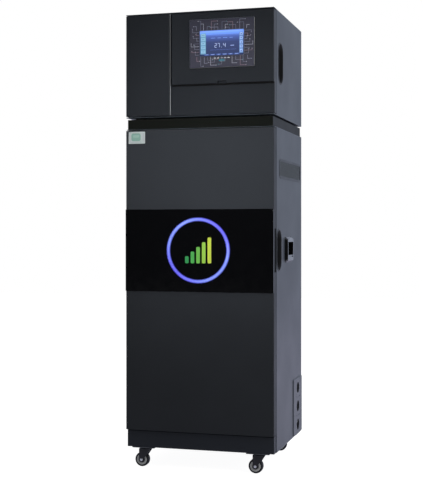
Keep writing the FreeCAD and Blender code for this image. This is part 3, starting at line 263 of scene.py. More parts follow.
wheel_turns = 72
bore_radius = 3.4 * mm
tread_rows = ((9.0, 1.0), (19.5, 1.0), (20.5, 0.2), (22.0, 0.0), (23.6, 0.9), (24.6, 3.2), (25.0, 7.0))
groove_rows = ((11, -2), (18.4, -2), (18.2, -0.3), (16.8, 0.0), (12.4, -0.1), (11.2, -0.6))
boss_rows = ((3.4, -2), (7.6, -2), (7.2, -0.4), (3.5, -0.2))
crown_low = 62.0 * mm
crown_rows = ((21.5, 62.0), (22.0, 63.2), (21.0, 65.0), (15.0, 66.0))
leg_boss = 9.0 * mm
leg_half_top = 21.0 * mm
leg_wall = 3.0 * mm
caster_trail = 12.0 * mm
axle_head_rows = ((4.6, -0.2), (4.8, 0.1), (4.8, 1.4), (4.2, 2.0), (1.8, 2.2))
fork_colour = "#16171a"
tyre_colour = "#141416"
rim_ring_colour = "#d9dbdc"
boss_colour = "#1c1d20"
plated_colour = "#d2d3d1"
facings = {
    "front": ((1, 0, 0), (0, 0, 1), (0, -1, 0)),
    "back": ((-1, 0, 0), (0, 0, 1), (0, 1, 0)),
    "right": ((0, 1, 0), (0, 0, 1), (1, 0, 0)),
    "left": ((0, -1, 0), (0, 0, 1), (-1, 0, 0)),
    "up": ((1, 0, 0), (0, 1, 0), (0, 0, 1)),
}


def placed(rings, facing, origin):
    """Points (u, v, w) carried to origin + u U + v V + w W, with U, V and W the facing's three axes."""
    return np.asarray(rings, float) @ np.array(facings[facing], float) + np.array(origin, float)


def stacked(rings, loop=False):
    """Closed skin through rings of equal counts: points j and j + 1 of ring i join those of ring i + 1.
    The first and last ring are closed by one face each, or join each other where the rings go round."""
    rings = np.asarray(rings, float)
    count, around = rings.shape[:2]
    i = np.arange(count if loop else count - 1)[:, None]
    j = np.arange(around)[None, :]
    after_i = (i + 1) % count
    after_j = (j + 1) % around
    corners = [i * around + j, i * around + after_j, after_i * around + after_j, after_i * around + j]
    quads = np.stack(np.broadcast_arrays(*corners), -1).reshape(-1, 4)
    if loop:
        return rings.reshape(-1, 3), [quads]
    first = np.arange(around)[None, ::-1]
    last = np.arange(around)[None, :] + (count - 1) * around
    return rings.reshape(-1, 3), [quads, first, last]


def turned(profile, steps, facing, origin, loop=False):
    """A lathe shape: each profile point (radius r, level w) becomes the ring (r cos a, r sin a, w)."""
    profile = np.asarray(profile, float)
    angle = np.linspace(0, 2 * np.pi, steps, endpoint=False)
    ring = np.stack([np.cos(angle), np.sin(angle)], 1)
    levels = np.repeat(profile[:, 1], steps).reshape(len(profile), steps, 1)
    rings = np.concatenate([profile[:, 0][:, None, None] * ring[None], levels], 2)
    return stacked(placed(rings, facing, origin), loop)


def piece(name, shells, body, finish, stands_for=(), inks=None, sharp=32.0):
    """One object from closed shells (points, face groups), smooth up to an angle, riding on a body.
    Inks, one sRGB colour for each shell, go into the point attribute ink."""
    points = np.concatenate([shell[0] for shell in shells])
    starts = np.cumsum([0] + [len(shell[0]) for shell in shells])
    faces = []
    for start, (_, groups) in zip(starts, shells):
        for group in groups:
            faces.extend((group + start).tolist())
    mesh = bpy.data.meshes.new(name)
    mesh.from_pydata(points.tolist(), [], faces)
    mesh.polygons.foreach_set("use_smooth", np.ones(len(faces), bool))
    mesh.set_sharp_from_angle(angle=math.radians(sharp))
    if inks:
        counts = [len(shell[0]) for shell in shells]
        colours = np.repeat([linear(ink) for ink in inks], counts, axis=0)
        attribute = mesh.attributes.new("ink", "FLOAT_COLOR", "POINT")
        attribute.data.foreach_set("color", colours.astype(np.float32).ravel())
    mesh.materials.append(finish)
    made = bpy.data.objects.new(name, mesh)
    bpy.context.scene.collection.objects.link(made)
    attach(made, body)
    if stands_for:
        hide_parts(*stands_for)
    return made


def hull_plate(radius, half_top, lean, top, low, high):
    """A fork leg as a plate: the outline runs round a boss from -195 to 15 degrees, and from there in
    straight lines to the two corners of a wide top edge, which is shifted sideways by the lean."""
    angle = np.radians(np.linspace(-195, 15, 22))
    boss = radius * np.stack([np.cos(angle), np.sin(angle)], 1)
    outline = np.concatenate([boss, [[lean + half_top, top], [lean - half_top, top]]])
    return [np.column_stack([outline, np.full(len(outline), level)]) for level in (low, high)]


def moulded_plastic(name, colour, roughness, grain=1.2 * mm, bump=0.25, through=0.0):
    """Injection-moulded plastic: a fine spark-eroded grain, faint flow clouds and soft edges.
    The real grain is about 0.1 mm, and is drawn coarser so that it shows."""
    made, tree, shader, place = material(name)
    erosion = add(tree, "TexNoise", {"Vector": place, "Scale": 1 / grain, "Detail": 3.0, "Roughness": 0.6})
    flow = add(tree, "TexNoise", {"Vector": place, "Scale": 12.0, "Detail": 1.0, "Distortion": 1.5})
    tone = add(tree, "MapRange", {0: flow, 1: 0.3, 2: 0.7, 3: 0.94, 4: 1.06})
    base = add(tree, "VectorMath", {0: linear(colour)[:3], "Scale": tone}, operation="SCALE")
    rough = add(tree, "MapRange", {0: flow, 1: 0.3, 2: 0.7, 3: roughness - 0.04, 4: roughness + 0.04})
    corner = add(tree, "Bevel", {"Radius": 0.8 * mm}, samples=4)
    grained = {"Height": erosion, "Distance": 0.05 * mm, "Strength": bump, "Normal": corner}
    relief = add(tree, "Bump", grained)
    fill(shader, {
        "Base Color": base,
        "Roughness": rough,
        "Normal": relief,
        "IOR": 1.5,
        "Subsurface Weight": through,
        "Subsurface Radius": (0.01, 0.01, 0.01),
        "Subsurface Scale": 1.0,
    })
    return made


def printed(name, roughness, glow=0.0, speck=0.06):
    """Ink on a film: its colour comes from the point attribute ink, a little uneven as screen print is."""
    made, tree, shader, place = material(name)
    ink = add(tree, "Attribute", attribute_name="ink")
    screen = add(tree, "TexNoise", {"Vector": place, "Scale": 1 / (1.5 * mm), "Detail": 2.0})
    tone = add(tree, "MapRange", {0: screen, 1: 0.3, 2: 0.7, 3: 1 - speck, 4: 1 + speck})
    base = add(tree, "VectorMath", {0: ink.outputs["Color"], "Scale": tone}, operation="SCALE")
    fill(shader, {"Base Color": base, "Roughness": roughness})
    if glow:
        fill(shader, {"Emission Color": base, "Emission Strength": glow})
    return made


def plated(name, colour, roughness):
    """Zinc-plated turned steel: bright, with a few dull stains and softly rounded edges."""
    made, tree, shader, place = material(name)
    stain = add(tree, "TexNoise", {"Vector": place, "Scale": 90.0, "Detail": 4.0})
    rough = add(tree, "MapRange", {0: stain, 1: 0.3, 2: 0.7, 3: roughness - 0.06, 4: roughness + 0.12})
    corner = add(tree, "Bevel", {"Radius": 0.4 * mm}, samples=4)
    fill(shader, {"Base Color": linear(colour), "Roughness": rough, "Normal": corner, "Metallic": 1.0})
    return made


caster_lacquer = coated("black_lacquer_on_pressed_steel", fork_colour, 0.34, peel=3 * mm)
tyre_rubber = moulded_plastic("vulcanised_tyre_rubber", tyre_colour, 0.62, bump=0.5)
rim_nylon = printed("nylon_wheel_centre", 0.42)
zinc_plate = plated("zinc_plated_steel", plated_colour, 0.28)
dress(galvanised_sheet, "caster_plates")

for corner in ("fl", "fr", "rl", "rr"):
    wheel = "caster_wheel_" + corner
    fork = "caster_fork_" + corner
    low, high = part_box(wheel)
    axle = (low + high) / 2
    half = (high.y - low.y) / 2
    tread = [(r * mm, w * mm - half) for r, w in tread_rows]
    tread += [(r, -w) for r, w in tread[::-1]]
    bore = [(bore_radius, half - 1.0 * mm), (bore_radius, -half + 1.0 * mm)]
    tyre = turned(tread + bore, wheel_turns, "front", axle, loop=True)
    piece("caster_tyre_" + corner, [tyre], wheel, tyre_rubber, [wheel])
    centres = []
    for side in ("front", "back"):
        for rows, turns in ((groove_rows, wheel_turns), (boss_rows, wheel_turns // 2)):
            profile = [(r * mm, w * mm + half) for r, w in rows]
            centres.append(turned(profile, turns, side, axle, loop=True))
    rim_inks = [rim_ring_colour, boss_colour] * 2
    piece("caster_rim_" + corner, centres, wheel, rim_nylon, inks=rim_inks)

    low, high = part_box(fork)
    leg_face = (high.y - low.y) / 2
    leg_top = crown_low - axle.z + 1.5 * mm
    leg = hull_plate(leg_boss, leg_half_top, caster_trail, leg_top, leg_face - leg_wall, leg_face)
    shells = [stacked(placed(leg, "front", axle))]
    shells.append(stacked(placed([ring[::-1] * (-1, 1, 1) for ring in leg], "back", axle)))
    crown = [(r * mm, w * mm) for r, w in crown_rows]
    shells.append(turned(crown, wheel_turns // 2, "up", (axle.x + caster_trail, axle.y, 0)))
    piece("caster_yoke_" + corner, shells, fork, caster_lacquer, [fork])
    head = [(r * mm, w * mm + leg_face) for r, w in axle_head_rows]
    bolts = [turned(head, 24, side, axle) for side in ("front", "back")]
    piece("caster_axle_caps_" + corner, bolts, fork, zinc_plate)


# The lower door: a pan folded from 1.5 mm sheet, coated like the walls but in a finer, flatter texture,
# with a white liner tray inside and a rubber seal round its back. It hangs on two plated pivot studs.

door_colour = "#33363b"
liner_colour = "#dcdcd6"
rubber_colour = "#101011"
fine_peel = 3.5 * mm
door_coat = coated("fine_texture_coat_door", door_colour, 0.58, 0.2, fine_peel, 0.16)
liner_coat = coated("white_coat_liner", liner_colour, 0.40, bump=0.10)
seal_rubber = moulded_plastic("extruded_seal_rubber", rubber_colour, 0.7, bump=0.4)
dress(door_coat, "lower_door_skin")
dress(liner_coat, "lower_door_liner")
dress(seal_rubber, "lower_door_gasket", "upper_door_gasket")
dress(galvanised_sheet, "magnetic_catches")
dress(zinc_plate, "door_pivot_pins")


# The fascia across the door: 5 mm cast acrylic, black and polished, with a round lit ring let into its
# face. Inside the ring five rising bars, printed green to yellow-green, show a generic level sign.

acrylic_colour = "#060607"
ring_edge_colour = "#141170"
ring_core_colour = "#7f82f4"
ring_band = 13.5 * mm
bar_colours = ("#2f8f4e", "#46a04c", "#67b04a", "#8fbe46", "#b9c843")
bar_width = 13.0 * mm
bar_gap = 7.0 * mm
bar_step = 16.0 * mm
bar_least = 24.0 * mm


def rounded(width, height, radius, steps=6):
    """Outline of a rectangle with round corners, counter-clockwise: each corner's centre plus
    radius (cos a, sin a), while a runs a quarter turn at each corner in its turn."""
    quarter = np.linspace(0, np.pi / 2, steps + 1)
    angle = (np.arange(4)[:, None] * np.pi / 2 + quarter).ravel()
    signs = np.repeat([[1, 1], [-1, 1], [-1, -1], [1, -1]], steps + 1, axis=0)
    centres = signs * [width / 2 - radius, height / 2 - radius]
    return centres + radius * np.stack([np.cos(angle), np.sin(angle)], 1)


def moulded(rows, facing, origin, steps=6):
    """A moulded block: one round-cornered ring for each row (width, height, radius, level), in millimetres,
    with an optional shift (u, v) of the ring."""
    rings = []
    for width, height, radius, level, *shift in rows:
        outline = rounded(width * mm, height * mm, radius * mm, steps) + np.array(shift or (0, 0)) * mm
        rings.append(np.column_stack([outline, np.full(len(outline), level * mm)]))
    return stacked(placed(rings, facing, origin))


acrylic, tree, shader, place = material("polished_black_acrylic")
waves = add(tree, "TexNoise", {"Vector": place, "Scale": 9.0, "Detail": 1.0})
smears = add(tree, "TexNoise", {"Vector": place, "Scale": 26.0, "Detail": 5.0, "Roughness": 0.7})
rough = add(tree, "MapRange", {0: smears, 1: 0.35, 2: 0.75, 3: 0.07, 4: 0.16})
relief = add(tree, "Bump", {"Height": waves, "Distance": 0.2 * mm, "Strength": 0.3})
fill(shader, {"Base Color": linear(acrylic_colour), "Roughness": rough, "Normal": relief, "IOR": 1.49})
dress(acrylic, "fascia_panel")

low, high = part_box("light_ring")
ring_centre = (low + high) / 2
ring_outer = (high.x - low.x) / 2
ring_inner = ring_outer - ring_band
lit_ring, tree, shader, place = material("opal_light_guide")
centred = add(tree, "Mapping", {"Vector": place, "Location": -ring_centre})
level = add(tree, "VectorMath", {0: centred, 1: (1.0, 0.0, 1.0)}, operation="MULTIPLY")
radius = add(tree, "VectorMath", {0: level}, operation="LENGTH")
across = add(tree, "MapRange", {0: radius.outputs["Value"], 1: ring_inner, 2: ring_outer, 3: 0.0, 4: 1.0})
core = add(tree, "ValToRGB", {0: across})
core.color_ramp.elements[0].color = linear(ring_edge_colour)
core.color_ramp.elements[1].color = linear(ring_edge_colour)
for share in (0.36, 0.64):
    core.color_ramp.elements.new(share).color = linear(ring_core_colour)
spots = add(tree, "TexNoise", {"Vector": centred, "Scale": 14.0, "Detail": 1.0})
dim = add(tree, "MapRange", {0: spots, 1: 0.3, 2: 0.7, 3: 0.86, 4: 1.04})
slant = (0.7071 / ring_outer, 0.0, 0.7071 / ring_outer)
lean = add(tree, "VectorMath", {0: centred, 1: slant}, operation="DOT_PRODUCT")
away = add(tree, "Math", {0: lean.outputs["Value"]}, operation="ABSOLUTE")
depth = add(tree, "MapRange", {0: away, 1: 0.5, 2: 1.0, 3: 0.0, 4: 1.0})
hue = add(tree, "Mix", {0: depth, 6: (0.95, 1.2, 0.92, 1), 7: (0.6, 0.5, 0.86, 1)}, data_type="RGBA")
shade = add(tree, "VectorMath", {0: core, 1: hue.outputs[2]}, operation="MULTIPLY")
light = add(tree, "VectorMath", {0: shade, "Scale": dim}, operation="SCALE")
fill(shader, {"Base Color": light, "Emission Color": light, "Emission Strength": 0.72, "Roughness": 0.35})
dress(lit_ring, "light_ring")

bars = []
for index in range(len(bar_colours)):
    height = bar_least + index * bar_step
    x = ring_centre.x + (index - (len(bar_colours) - 1) / 2) * (bar_width + bar_gap)
    foot = ring_centre.z - (bar_least + (len(bar_colours) - 1) * bar_step) / 2
    rows = [(bar_width / mm, height / mm, 4.0, 0.0), (bar_width / mm, height / mm, 4.0, 0.3)]
    bars.append(moulded(rows, "front", (x, high.y, foot + height / 2)))
sign_ink = printed("screen_printed_level_bars", 0.35, glow=0.25)
piece("level_bars", bars, "lower_door", sign_ink, inks=bar_colours)


# The label at the door's top left: a thin polyester film, 60 by 41 mm, pressed on the coat.
# It is grey-white with a plain green field and rows of blank rules, and carries no words.

label_width = 60.0
label_height = 41.0
label_centre = (-222.5 * mm, 1143.5 * mm)
label_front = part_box("lower_door_skin")[0].y
film_inks = ["#b9c0c1", "#7fa69a", "#93b6ab", "#a3adae", "#a3adae"]
film_print = printed("printed_polyester_film", 0.38)
label_fields = [
    (0, 0, label_width, label_height, 2.0, 0.20),
    (-3, 2, 34, 27, 7.0, 0.28),
    (-3, 5, 22, 9, 3.0, 0.34),
    (-2, -15, 38, 1.6, 0.7, 0.28),
    (23.5, 2, 1.6, 27, 0.7, 0.28),
]
films = []
for u, v, width, height, radius, thick in label_fields:
    place = (label_centre[0] + u * mm, label_front, label_centre[1] + v * mm)
    films.append(moulded([(width, height, radius, 0.0), (width, height, radius, thick)], "front", place))
piece("door_label", films, "lower_door", film_print, inks=film_inks)


# The neck between the housings is a folded spacer in matt black, on which the upper housing stands on
# four dense rubber pads; the upper housing is folded and coated like the cabinet below it.

neck_colour = "#141613"
upper_door_colour = "#26292e"
neck_coat = coated("matt_black_coat_neck", neck_colour, 0.6, sheen=0.2)
dress(neck_coat, "neck_frame")
dress(seal_rubber, "neck_feet")
dress(charcoal_wall, "upper_base_plate", "upper_right_side", "upper_left_side")
dress(charcoal_wall, "upper_top_cover", "upper_rear_panel")
upper_door_coat = coated("fine_texture_coat_upper_door", upper_door_colour, 0.50, 0.35, fine_peel, 0.16)
dress(upper_door_coat, "upper_door_pan", "left_cover_panel", "screen_flap")


# The left cover of the upper door is a bent sheet with a rounded free edge. A pale metallic strip about 0.6
# mm thick lies round part of that edge from top to bottom: a painted highlight, standing for the bright line
# the rounded edge catches from the lamps on the right.

highlight_edge_round = 8.0
highlight_lead = 0.35
highlight_sunk = 0.3


def brushed(name, colour, roughness, along_scale):
    """Satin aluminium: fine lines from an abrasive belt, as a noise stretched along one axis."""
    made, tree, shader, place = material(name)
    drawn = add(tree, "Mapping", {"Vector": place, "Scale": along_scale})
    lines = add(tree, "TexNoise", {"Vector": drawn, "Scale": 1.0, "Detail": 3.0})
    tone = add(tree, "MapRange", {0: lines, 1: 0.3, 2: 0.7, 3: 0.88, 4: 1.05})
    base = add(tree, "VectorMath", {0: linear(colour)[:3], "Scale": tone}, operation="SCALE")
    rough = add(tree, "MapRange", {0: lines, 1: 0.3, 2: 0.7, 3: roughness - 0.06, 4: roughness + 0.08})
    corner = add(tree, "Bevel", {"Radius": 0.6 * mm}, samples=4)
    fill(shader, {"Base Color": base, "Roughness": rough, "Normal": corner, "Metallic": 1.0})
    return made


satin_aluminium = brushed("satin_aluminium", "#c3c5c6", 0.36, (30.0, 30.0, 900.0))

cover_low, cover_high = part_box("left_cover_panel")
wrap = np.radians(np.linspace(38, 66, 7))
wrap = np.concatenate([wrap, wrap[::-1]])
reach = np.repeat([highlight_edge_round + highlight_lead, highlight_edge_round - highlight_sunk], len(wrap) // 2)
highlight_section = np.stack([reach * np.sin(wrap), -reach * np.cos(wrap)], 1) * mm
highlight_section += [cover_high.x - highlight_edge_round * mm, cover_low.y + highlight_edge_round * mm]
highlight_ends = (cover_low.z + 1 * mm, cover_high.z - 1 * mm)
highlight_rings = [np.column_stack([highlight_section, np.full(len(wrap), z)]) for z in highlight_ends]
# Painted highlight: a pale brushed-metal strip on the cover's rounded edge, in place of the light line the
# edge catches.
edge_highlight_finish = brushed("painted_edge_highlight_metal", "#8f9293", 0.42, (30.0, 30.0, 900.0))
piece("cover_edge_painted_highlight", [stacked(highlight_rings)], "upper_door", edge_highlight_finish)


# The touch panel in the flap: a bezel of anodised aluminium round a printed membrane with a pattern of
# pale traces, the lit display in its window, and a closed grey plastic housing behind the flap.


def extent(node):
    """A node's lowest and highest corner and its middle, in metres, and its size in millimetres."""
    low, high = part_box(node)
    middle = [(a + b) / 2 for a, b in zip(low, high)]
    return low, high, middle, [(b - a) / mm for a, b in zip(low, high)]


low, high, (panel_x, _, panel_z), (panel_width, _, panel_height) = extent("touch_panel")
_, glass_high, (screen_x, _, screen_z), (screen_width, glass_thick, screen_height) = extent("touch_screen")
flap_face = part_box("screen_flap")[0].y
membrane_colour = "#3b3b49"
bezel_colour = "#b4b6b3"
trace_colours = ("#8b8fa3", "#9ea2b6", "#7d8196", "#c3c7d2", "#8b8fa3", "#a78a95")
dot_colours = ("#c9cdd8", "#e4e6ec", "#9ea2b6", "#57aab0")
trace_width = 1.1
membrane_level = (flap_face - low.y) / mm
bezel_metal = brushed("anodised_bezel", bezel_colour, 0.34, (30.0, 30.0, 900.0))
housing_plastic = moulded_plastic("grey_abs_panel_housing", "#6f7276", 0.45)
membrane_print = printed("printed_membrane", 0.30)
window = (screen_width + 0.8, screen_height + 0.8, 1.2)
bezel_insets = [(1, 2.5, 0.0), (0, 3.0, 0.5), (0, 3.0, membrane_level - 1.2)]
bezel_insets += [(0.6, 2.8, membrane_level - 0.5), (1.8, 2.4, membrane_level - 0.1)]
bezel_rows = [(panel_width - inset, panel_height - inset, r, level) for inset, r, level in bezel_insets]
bezel_rows.append((window[0] + 1.0, window[1] + 1.0, 1.8, membrane_level - 0.1))
bezel_rows += [(*window, membrane_level - 0.4), (*window, membrane_level - 3.0)]
panel_front = (panel_x, flap_face, panel_z)
bezel = moulded(bezel_rows, "front", panel_front)
housing_width = 206.0
housing_height = 145.0
housing_depth = (high.y - flap_face) / mm
housing_rows = [
    (housing_width - 3, housing_height - 3, 3.0, 0.0),
    (housing_width, housing_height, 4.0, -2.0),
    (housing_width, housing_height, 4.0, 2.0 - housing_depth),
    (housing_width - 4, housing_height - 4, 4.0, -housing_depth),
]
housing = moulded(housing_rows[::-1], "back", (panel_x, high.y, panel_z))
piece("touch_bezel", [bezel], "screen_flap", bezel_metal, ["touch_panel"])
piece("touch_housing", [housing], "screen_flap", housing_plastic)

membrane_inner = rounded((window[0] + 1.4) * mm, (window[1] + 1.4) * mm, 2.0 * mm)
membrane_outer = rounded((panel_width - 2.2) * mm, (panel_height - 2.2) * mm, 2.2 * mm)
membrane_rings = [
    np.column_stack([edge, np.full(len(edge), (membrane_level - sunk) * mm)])
    for sunk, edges in ((0.1, (membrane_inner, membrane_outer)), (0.04, (membrane_outer, membrane_inner)))
    for edge in edges
]
prints = [stacked(placed(membrane_rings, "front", panel_front), loop=True)]
print_inks = [membrane_colour]


def print_field(u, v, width, height, ink, radius=0.4):
    """A printed field on the membrane: a slab 0.04 mm thick at (u, v) from the panel's centre, in mm."""
    spot = (panel_x + u * mm, flap_face, panel_z + v * mm)
    levels = (membrane_level - 0.05, membrane_level - 0.01)
    prints.append(moulded([(width, height, radius, w) for w in levels], "front", spot, 2))
    print_inks.append(ink)


def trace(u, v, out, turn, sideways, ink, dot):
    """A printed trace that leaves the window's edge at (u, v), runs outwards and turns by a right angle.
    Outwards is up or down for sideways False, left or right for True. A round dot ends it."""
    end = (u + out, v + turn) if sideways else (u + turn, v + out)
    knee = (end[0], v) if sideways else (u, end[1])
    for a, b in (((u, v), knee), (knee, end)):
        width = abs(b[0] - a[0]) + trace_width
        height = abs(b[1] - a[1]) + trace_width
        print_field((a[0] + b[0]) / 2, (a[1] + b[1]) / 2, width, height, ink)
    print_field(*end, 2.6, 2.6, dot, 1.3)


draw = np.random.default_rng(11)
half_u = window[0] / 2 + 2.0
half_v = window[1] / 2 + 2.0
room_u = (panel_width / 2 - half_u) - 6.0
room_v = (panel_height / 2 - half_v) - 6.0
for side in (-1, 1):
    for index in range(15):
        reach = side * room_v * (0.2 + 0.8 * ((index * 7 + 3) % 11) / 10)
        turn = draw.uniform(8, 26) * (1 if draw.random() < 0.5 else -1)
        u = (index - 7) * 12.6 + draw.uniform(-2, 2)
        turn = float(np.clip(u + turn, -panel_width / 2 + 8, panel_width / 2 - 8) - u)
        ink = trace_colours[(index + side) % 6]
        trace(u, side * half_v, reach, turn, False, ink, dot_colours[index % 4])
    for index in range(9):
        reach = side * room_u * (0.3 + 0.7 * ((index * 5 + 2) % 9) / 8)
        turn = draw.uniform(3, 14) * (1 if draw.random() < 0.5 else -1)
        ink = trace_colours[(index * 5) % 6]
        trace(side * half_u, (index - 4) * 9.6, reach, turn, True, ink, dot_colours[index % 3])
for index in range(5):
    print_field(-24 + index * 12, -half_v - 5.5, 7.0, 2.6, dot_colours[index % 3])
print_field(0, -half_v - 13, 20, 7.5, "#2f7f92", 3.0)
piece("membrane_print", prints, "screen_flap", membrane_print, inks=print_inks)

segments = {
    "0": "abcdef", "1": "bc", "2": "abged", "3": "abgcd", "4": "fgbc",
    "5": "afgcd", "6": "afgedc", "7": "abc", "8": "abcdefg", "9": "abfgcd",
}
segment_spots = {
    "a": (0, 1, 1), "b": (0.5, 0.5, 0), "c": (0.5, -0.5, 0), "d": (0, -1, 1),
    "e": (-0.5, -0.5, 0), "f": (-0.5, 0.5, 0), "g": (0, 0, 1),
}
lit = []
lit_inks = []


def tile(u, v, width, height, layer, ink, radius=0.6):
    """One lit field of the display: a round-cornered slab 0.05 mm thick, in millimetres from its centre."""
    base = glass_thick + layer * 0.05
    place = (screen_x + u * mm, glass_high.y, screen_z + v * mm)
    rows = [(width, height, radius, level) for level in (base - 0.05, base)]
    lit.append(moulded(rows, "front", place, 2))
    lit_inks.append(ink)


def number(text, u, v, size, layer, ink):
    """A row of numerals from seven strokes each, with a dot for a point."""
    stroke = size * 0.16
    for index, sign in enumerate(text):
        x = u + index * size * 0.78
        if sign == ".":
            tile(x, v - size * 0.5, stroke, stroke, layer, ink, 0.2)
            continue
        for name in segments[sign]:
            across, up, flat = segment_spots[name]
            wide, tall = (size * 0.5, stroke) if flat else (stroke, size * 0.5)
            tile(x + across * size * 0.5, v + up * size * 0.5, wide, tall, layer, ink, 0.3)


sky_rows = 18
sky_levels = (0.0, 0.10, 0.22, 0.45, 1.0)
sky_inks = ("#4f70c8", "#6a93e4", "#475a9e", "#353f66", "#2d3653")


def srgb(values):
    """Linear values as an sRGB hex colour, the way back from linear()."""
    coded = [12.92 * c if c <= 0.0031308 else 1.055 * c ** (1 / 2.4) - 0.055 for c in values[:3]]
    return "#" + "".join(f"{round(max(0, min(1, c)) * 255):02x}" for c in coded)


sky_colours = np.array([linear(ink) for ink in sky_inks])
left_column = -screen_width / 2 + 12.0
right_column = screen_width / 2 - 9.0
for index in range(sky_rows):
    share = (index + 0.5) / sky_rows
    height = screen_height / sky_rows
    v = screen_height / 2 - (index + 0.5) * height
    blend = [np.interp(share, sky_levels, sky_colours[:, channel]) for channel in range(3)]
    tile(0, v, screen_width, height, 0, srgb(blend), 0.02)
tile(0, screen_height / 2 - 4.0, screen_width - 5, 4.6, 1, "#7394dc")
tile(left_column, -1, 19, screen_height - 15, 1, "#5c87a4")
tile(right_column, -1, 13, screen_height - 15, 1, "#5a78ac")
for index in range(5):
    v = screen_height / 2 - 15 - index * 14
    tile(left_column, v, 15, 9.5, 2, "#7aa0b6")
    tile(left_column, v, 10 - 2 * (index % 3), 1.8, 3, "#4e7396")
    tile(right_column, v, 9.5, 9.0, 2, "#8aa2c8")
    tile(right_column, v - 1.0 + index % 2, 4.5, 4.5, 3, "#3c5592", 2.2)
for index in range(4):
    tile(-30 + index * 21, 17, 15 - 3 * (index % 2), 1.7, 1, "#6d86c8")
number("27.4", -21, -8, 13, 1, "#8b98b6")
tile(37, -10, 13, 2.2, 1, "#8d9fcc")
tile(5, -23, 92, 0.9, 1, "#566aa8")
for index in range(6):
    tile((index - 2.5) * 21, -screen_height / 2 + 4.4, 17, 5.6, 1, "#3d4f86")
    tile((index - 2.5) * 21, -screen_height / 2 + 4.4, 8 + 3 * (index % 2), 1.9, 2, "#7f90ba")
display_light = printed("lit_display", 0.12, glow=0.72, speck=0.02)
piece("display_picture", lit, "screen_flap", display_light, ["touch_screen"], inks=lit_inks)


# The pull cups: two black moulded cups with half-round ends, pressed into the right walls from outside
# until their thin rounded flange lies on the coat. Fingers reach in behind the free edge of the doors.

black_moulding = moulded_plastic("grained_black_abs", "#18191b", 0.5)
cup_boxes = ((756.0, -153.0), (1395.0, -127.5))
wall_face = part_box("right_side_panel")[1].x
cup_straight = 70
cup_outside = [(62, 31.0, -28.0), (68, 34.0, -26.0), (70, 35.0, -20.0), (70, 35.0, 0.2)]
cup_flange = [(75, 37.5, 0.2), (75.6, 37.8, 0.6), (75, 37.5, 1.1), (70.5, 35.2, 1.5), (67.2, 33.6, 1.2)]
cup_inside = [(66, 33.0, 0.0), (64.5, 32.2, -14.0), (61, 30.5, -22.0), (53, 26.5, -25.6), (40, 20.0, -26.0)]
cup_skin = cup_outside + cup_flange + cup_inside
cup_rows = [(width, width + cup_straight, r, level) for width, r, level in cup_skin]
cups = [moulded(cup_rows, "right", (wall_face, y * mm, z * mm), 12) for z, y in cup_boxes]
piece("moulded_pull_cups", cups, "cabinet", black_moulding, ["pull_cups"])


# The carrying handles and the vents on both walls. Handle shells are glass-filled nylon, black and
# polished, clipped into the wall; the louvres are one moulding behind a woven dust screen of coated wire.

handle_nylon = moulded_plastic("polished_black_nylon_handle", "#0c0d0e", 0.20, bump=0.06)
vent_moulding = moulded_plastic("grey_abs_louvre", "#30353a", 0.55)
dress(handle_nylon, "side_handles")
dress(vent_moulding, "vent_grilles")

_, vent_high, (_, *vent_middle), _ = extent("vent_grilles")
screen_level = vent_high.x - 1.5 * mm
screen_length = 340.0
screen_rise = 52.0
wire_pitch = 2.6
wire_size = 0.9


def wires(facing, side):
    """A woven screen as straight bars: one row across and one row upright, each bar a slim six-sided rod
    whose ring is half a wire wide; upright bars lie half a wire further out than the bars across."""
    angle = np.arange(6) * np.pi / 3
    ring = np.stack([np.cos(angle), np.sin(angle)], 1) * wire_size / 2
    rods = []
    for count, length, upright in ((int(screen_rise / wire_pitch), screen_length, False),
                                   (int(screen_length / wire_pitch), screen_rise, True)):
        for index in range(count):
            offset = (index - (count - 1) / 2) * wire_pitch
            ends = np.array([-length / 2, length / 2])
            along = np.repeat(ends, 6).reshape(2, 6)
            across = np.broadcast_to(ring[:, 0] + offset, (2, 6))
            depth = np.broadcast_to(ring[:, 1] + (0.25 if upright else -0.25), (2, 6))
            rings = np.stack([across, -along, depth] if upright else [along, across, depth], -1) * mm
            rods.append(stacked(placed(rings, facing, (side * screen_level, *vent_middle))))
    return rods


screen_coat = coated("coated_steel_wire", "#4c5259", 0.55, peel=3 * mm)
for facing, side in (("right", 1), ("left", -1)):
    piece("dust_screen_" + facing, wires(facing, side), "cabinet", screen_coat)


# The service ports at the lower rear: a pressed steel plate with sloped edges, in the wall's coat and
# fixed on the wall, with three bored blocks let into it. Each port has a rubber liner, the lowest a plug.

port_coat = coated("powder_coat_port_plate", "#3b4148", 0.46, sheen=0.38)
plate_low, _, (_, plate_y, plate_z), (_, *plate_size) = extent("port_plate")
field_low, _, (_, port_y, field_z), (_, *field_size) = extent("port_blocks")
plate_rise = 3.2
plate_slope = 7.0
block_tall = field_size[1] / 3
port_levels = [field_low.z + (index + 0.5) * block_tall * mm for index in range(3)]
field_shift = (port_y - plate_y, field_z - plate_z)
plate_rings = []
for width, height, radius, level, inside in (
    (*plate_size, 6.0, 0.0, 0),
    (*plate_size, 6.0, 0.7, 0),
    (plate_size[0] - plate_slope, plate_size[1] - plate_slope / 2, 5.0, plate_rise, 0),
    (field_size[0] + 0.8, field_size[1] + 0.8, 1.5, plate_rise, 1),
    (field_size[0] + 0.8, field_size[1] + 0.8, 1.5, 0.0, 1),
):
    ring = rounded(width * mm, height * mm, radius * mm) + np.array(field_shift) * inside
    plate_rings.append(np.column_stack([ring, np.full(len(ring), level * mm)]))
pressed_plate = stacked(placed(plate_rings, "right", (plate_low.x, plate_y, plate_z)), loop=True)
piece("pressed_port_plate", [pressed_plate], "cabinet", port_coat, ["port_plate"])


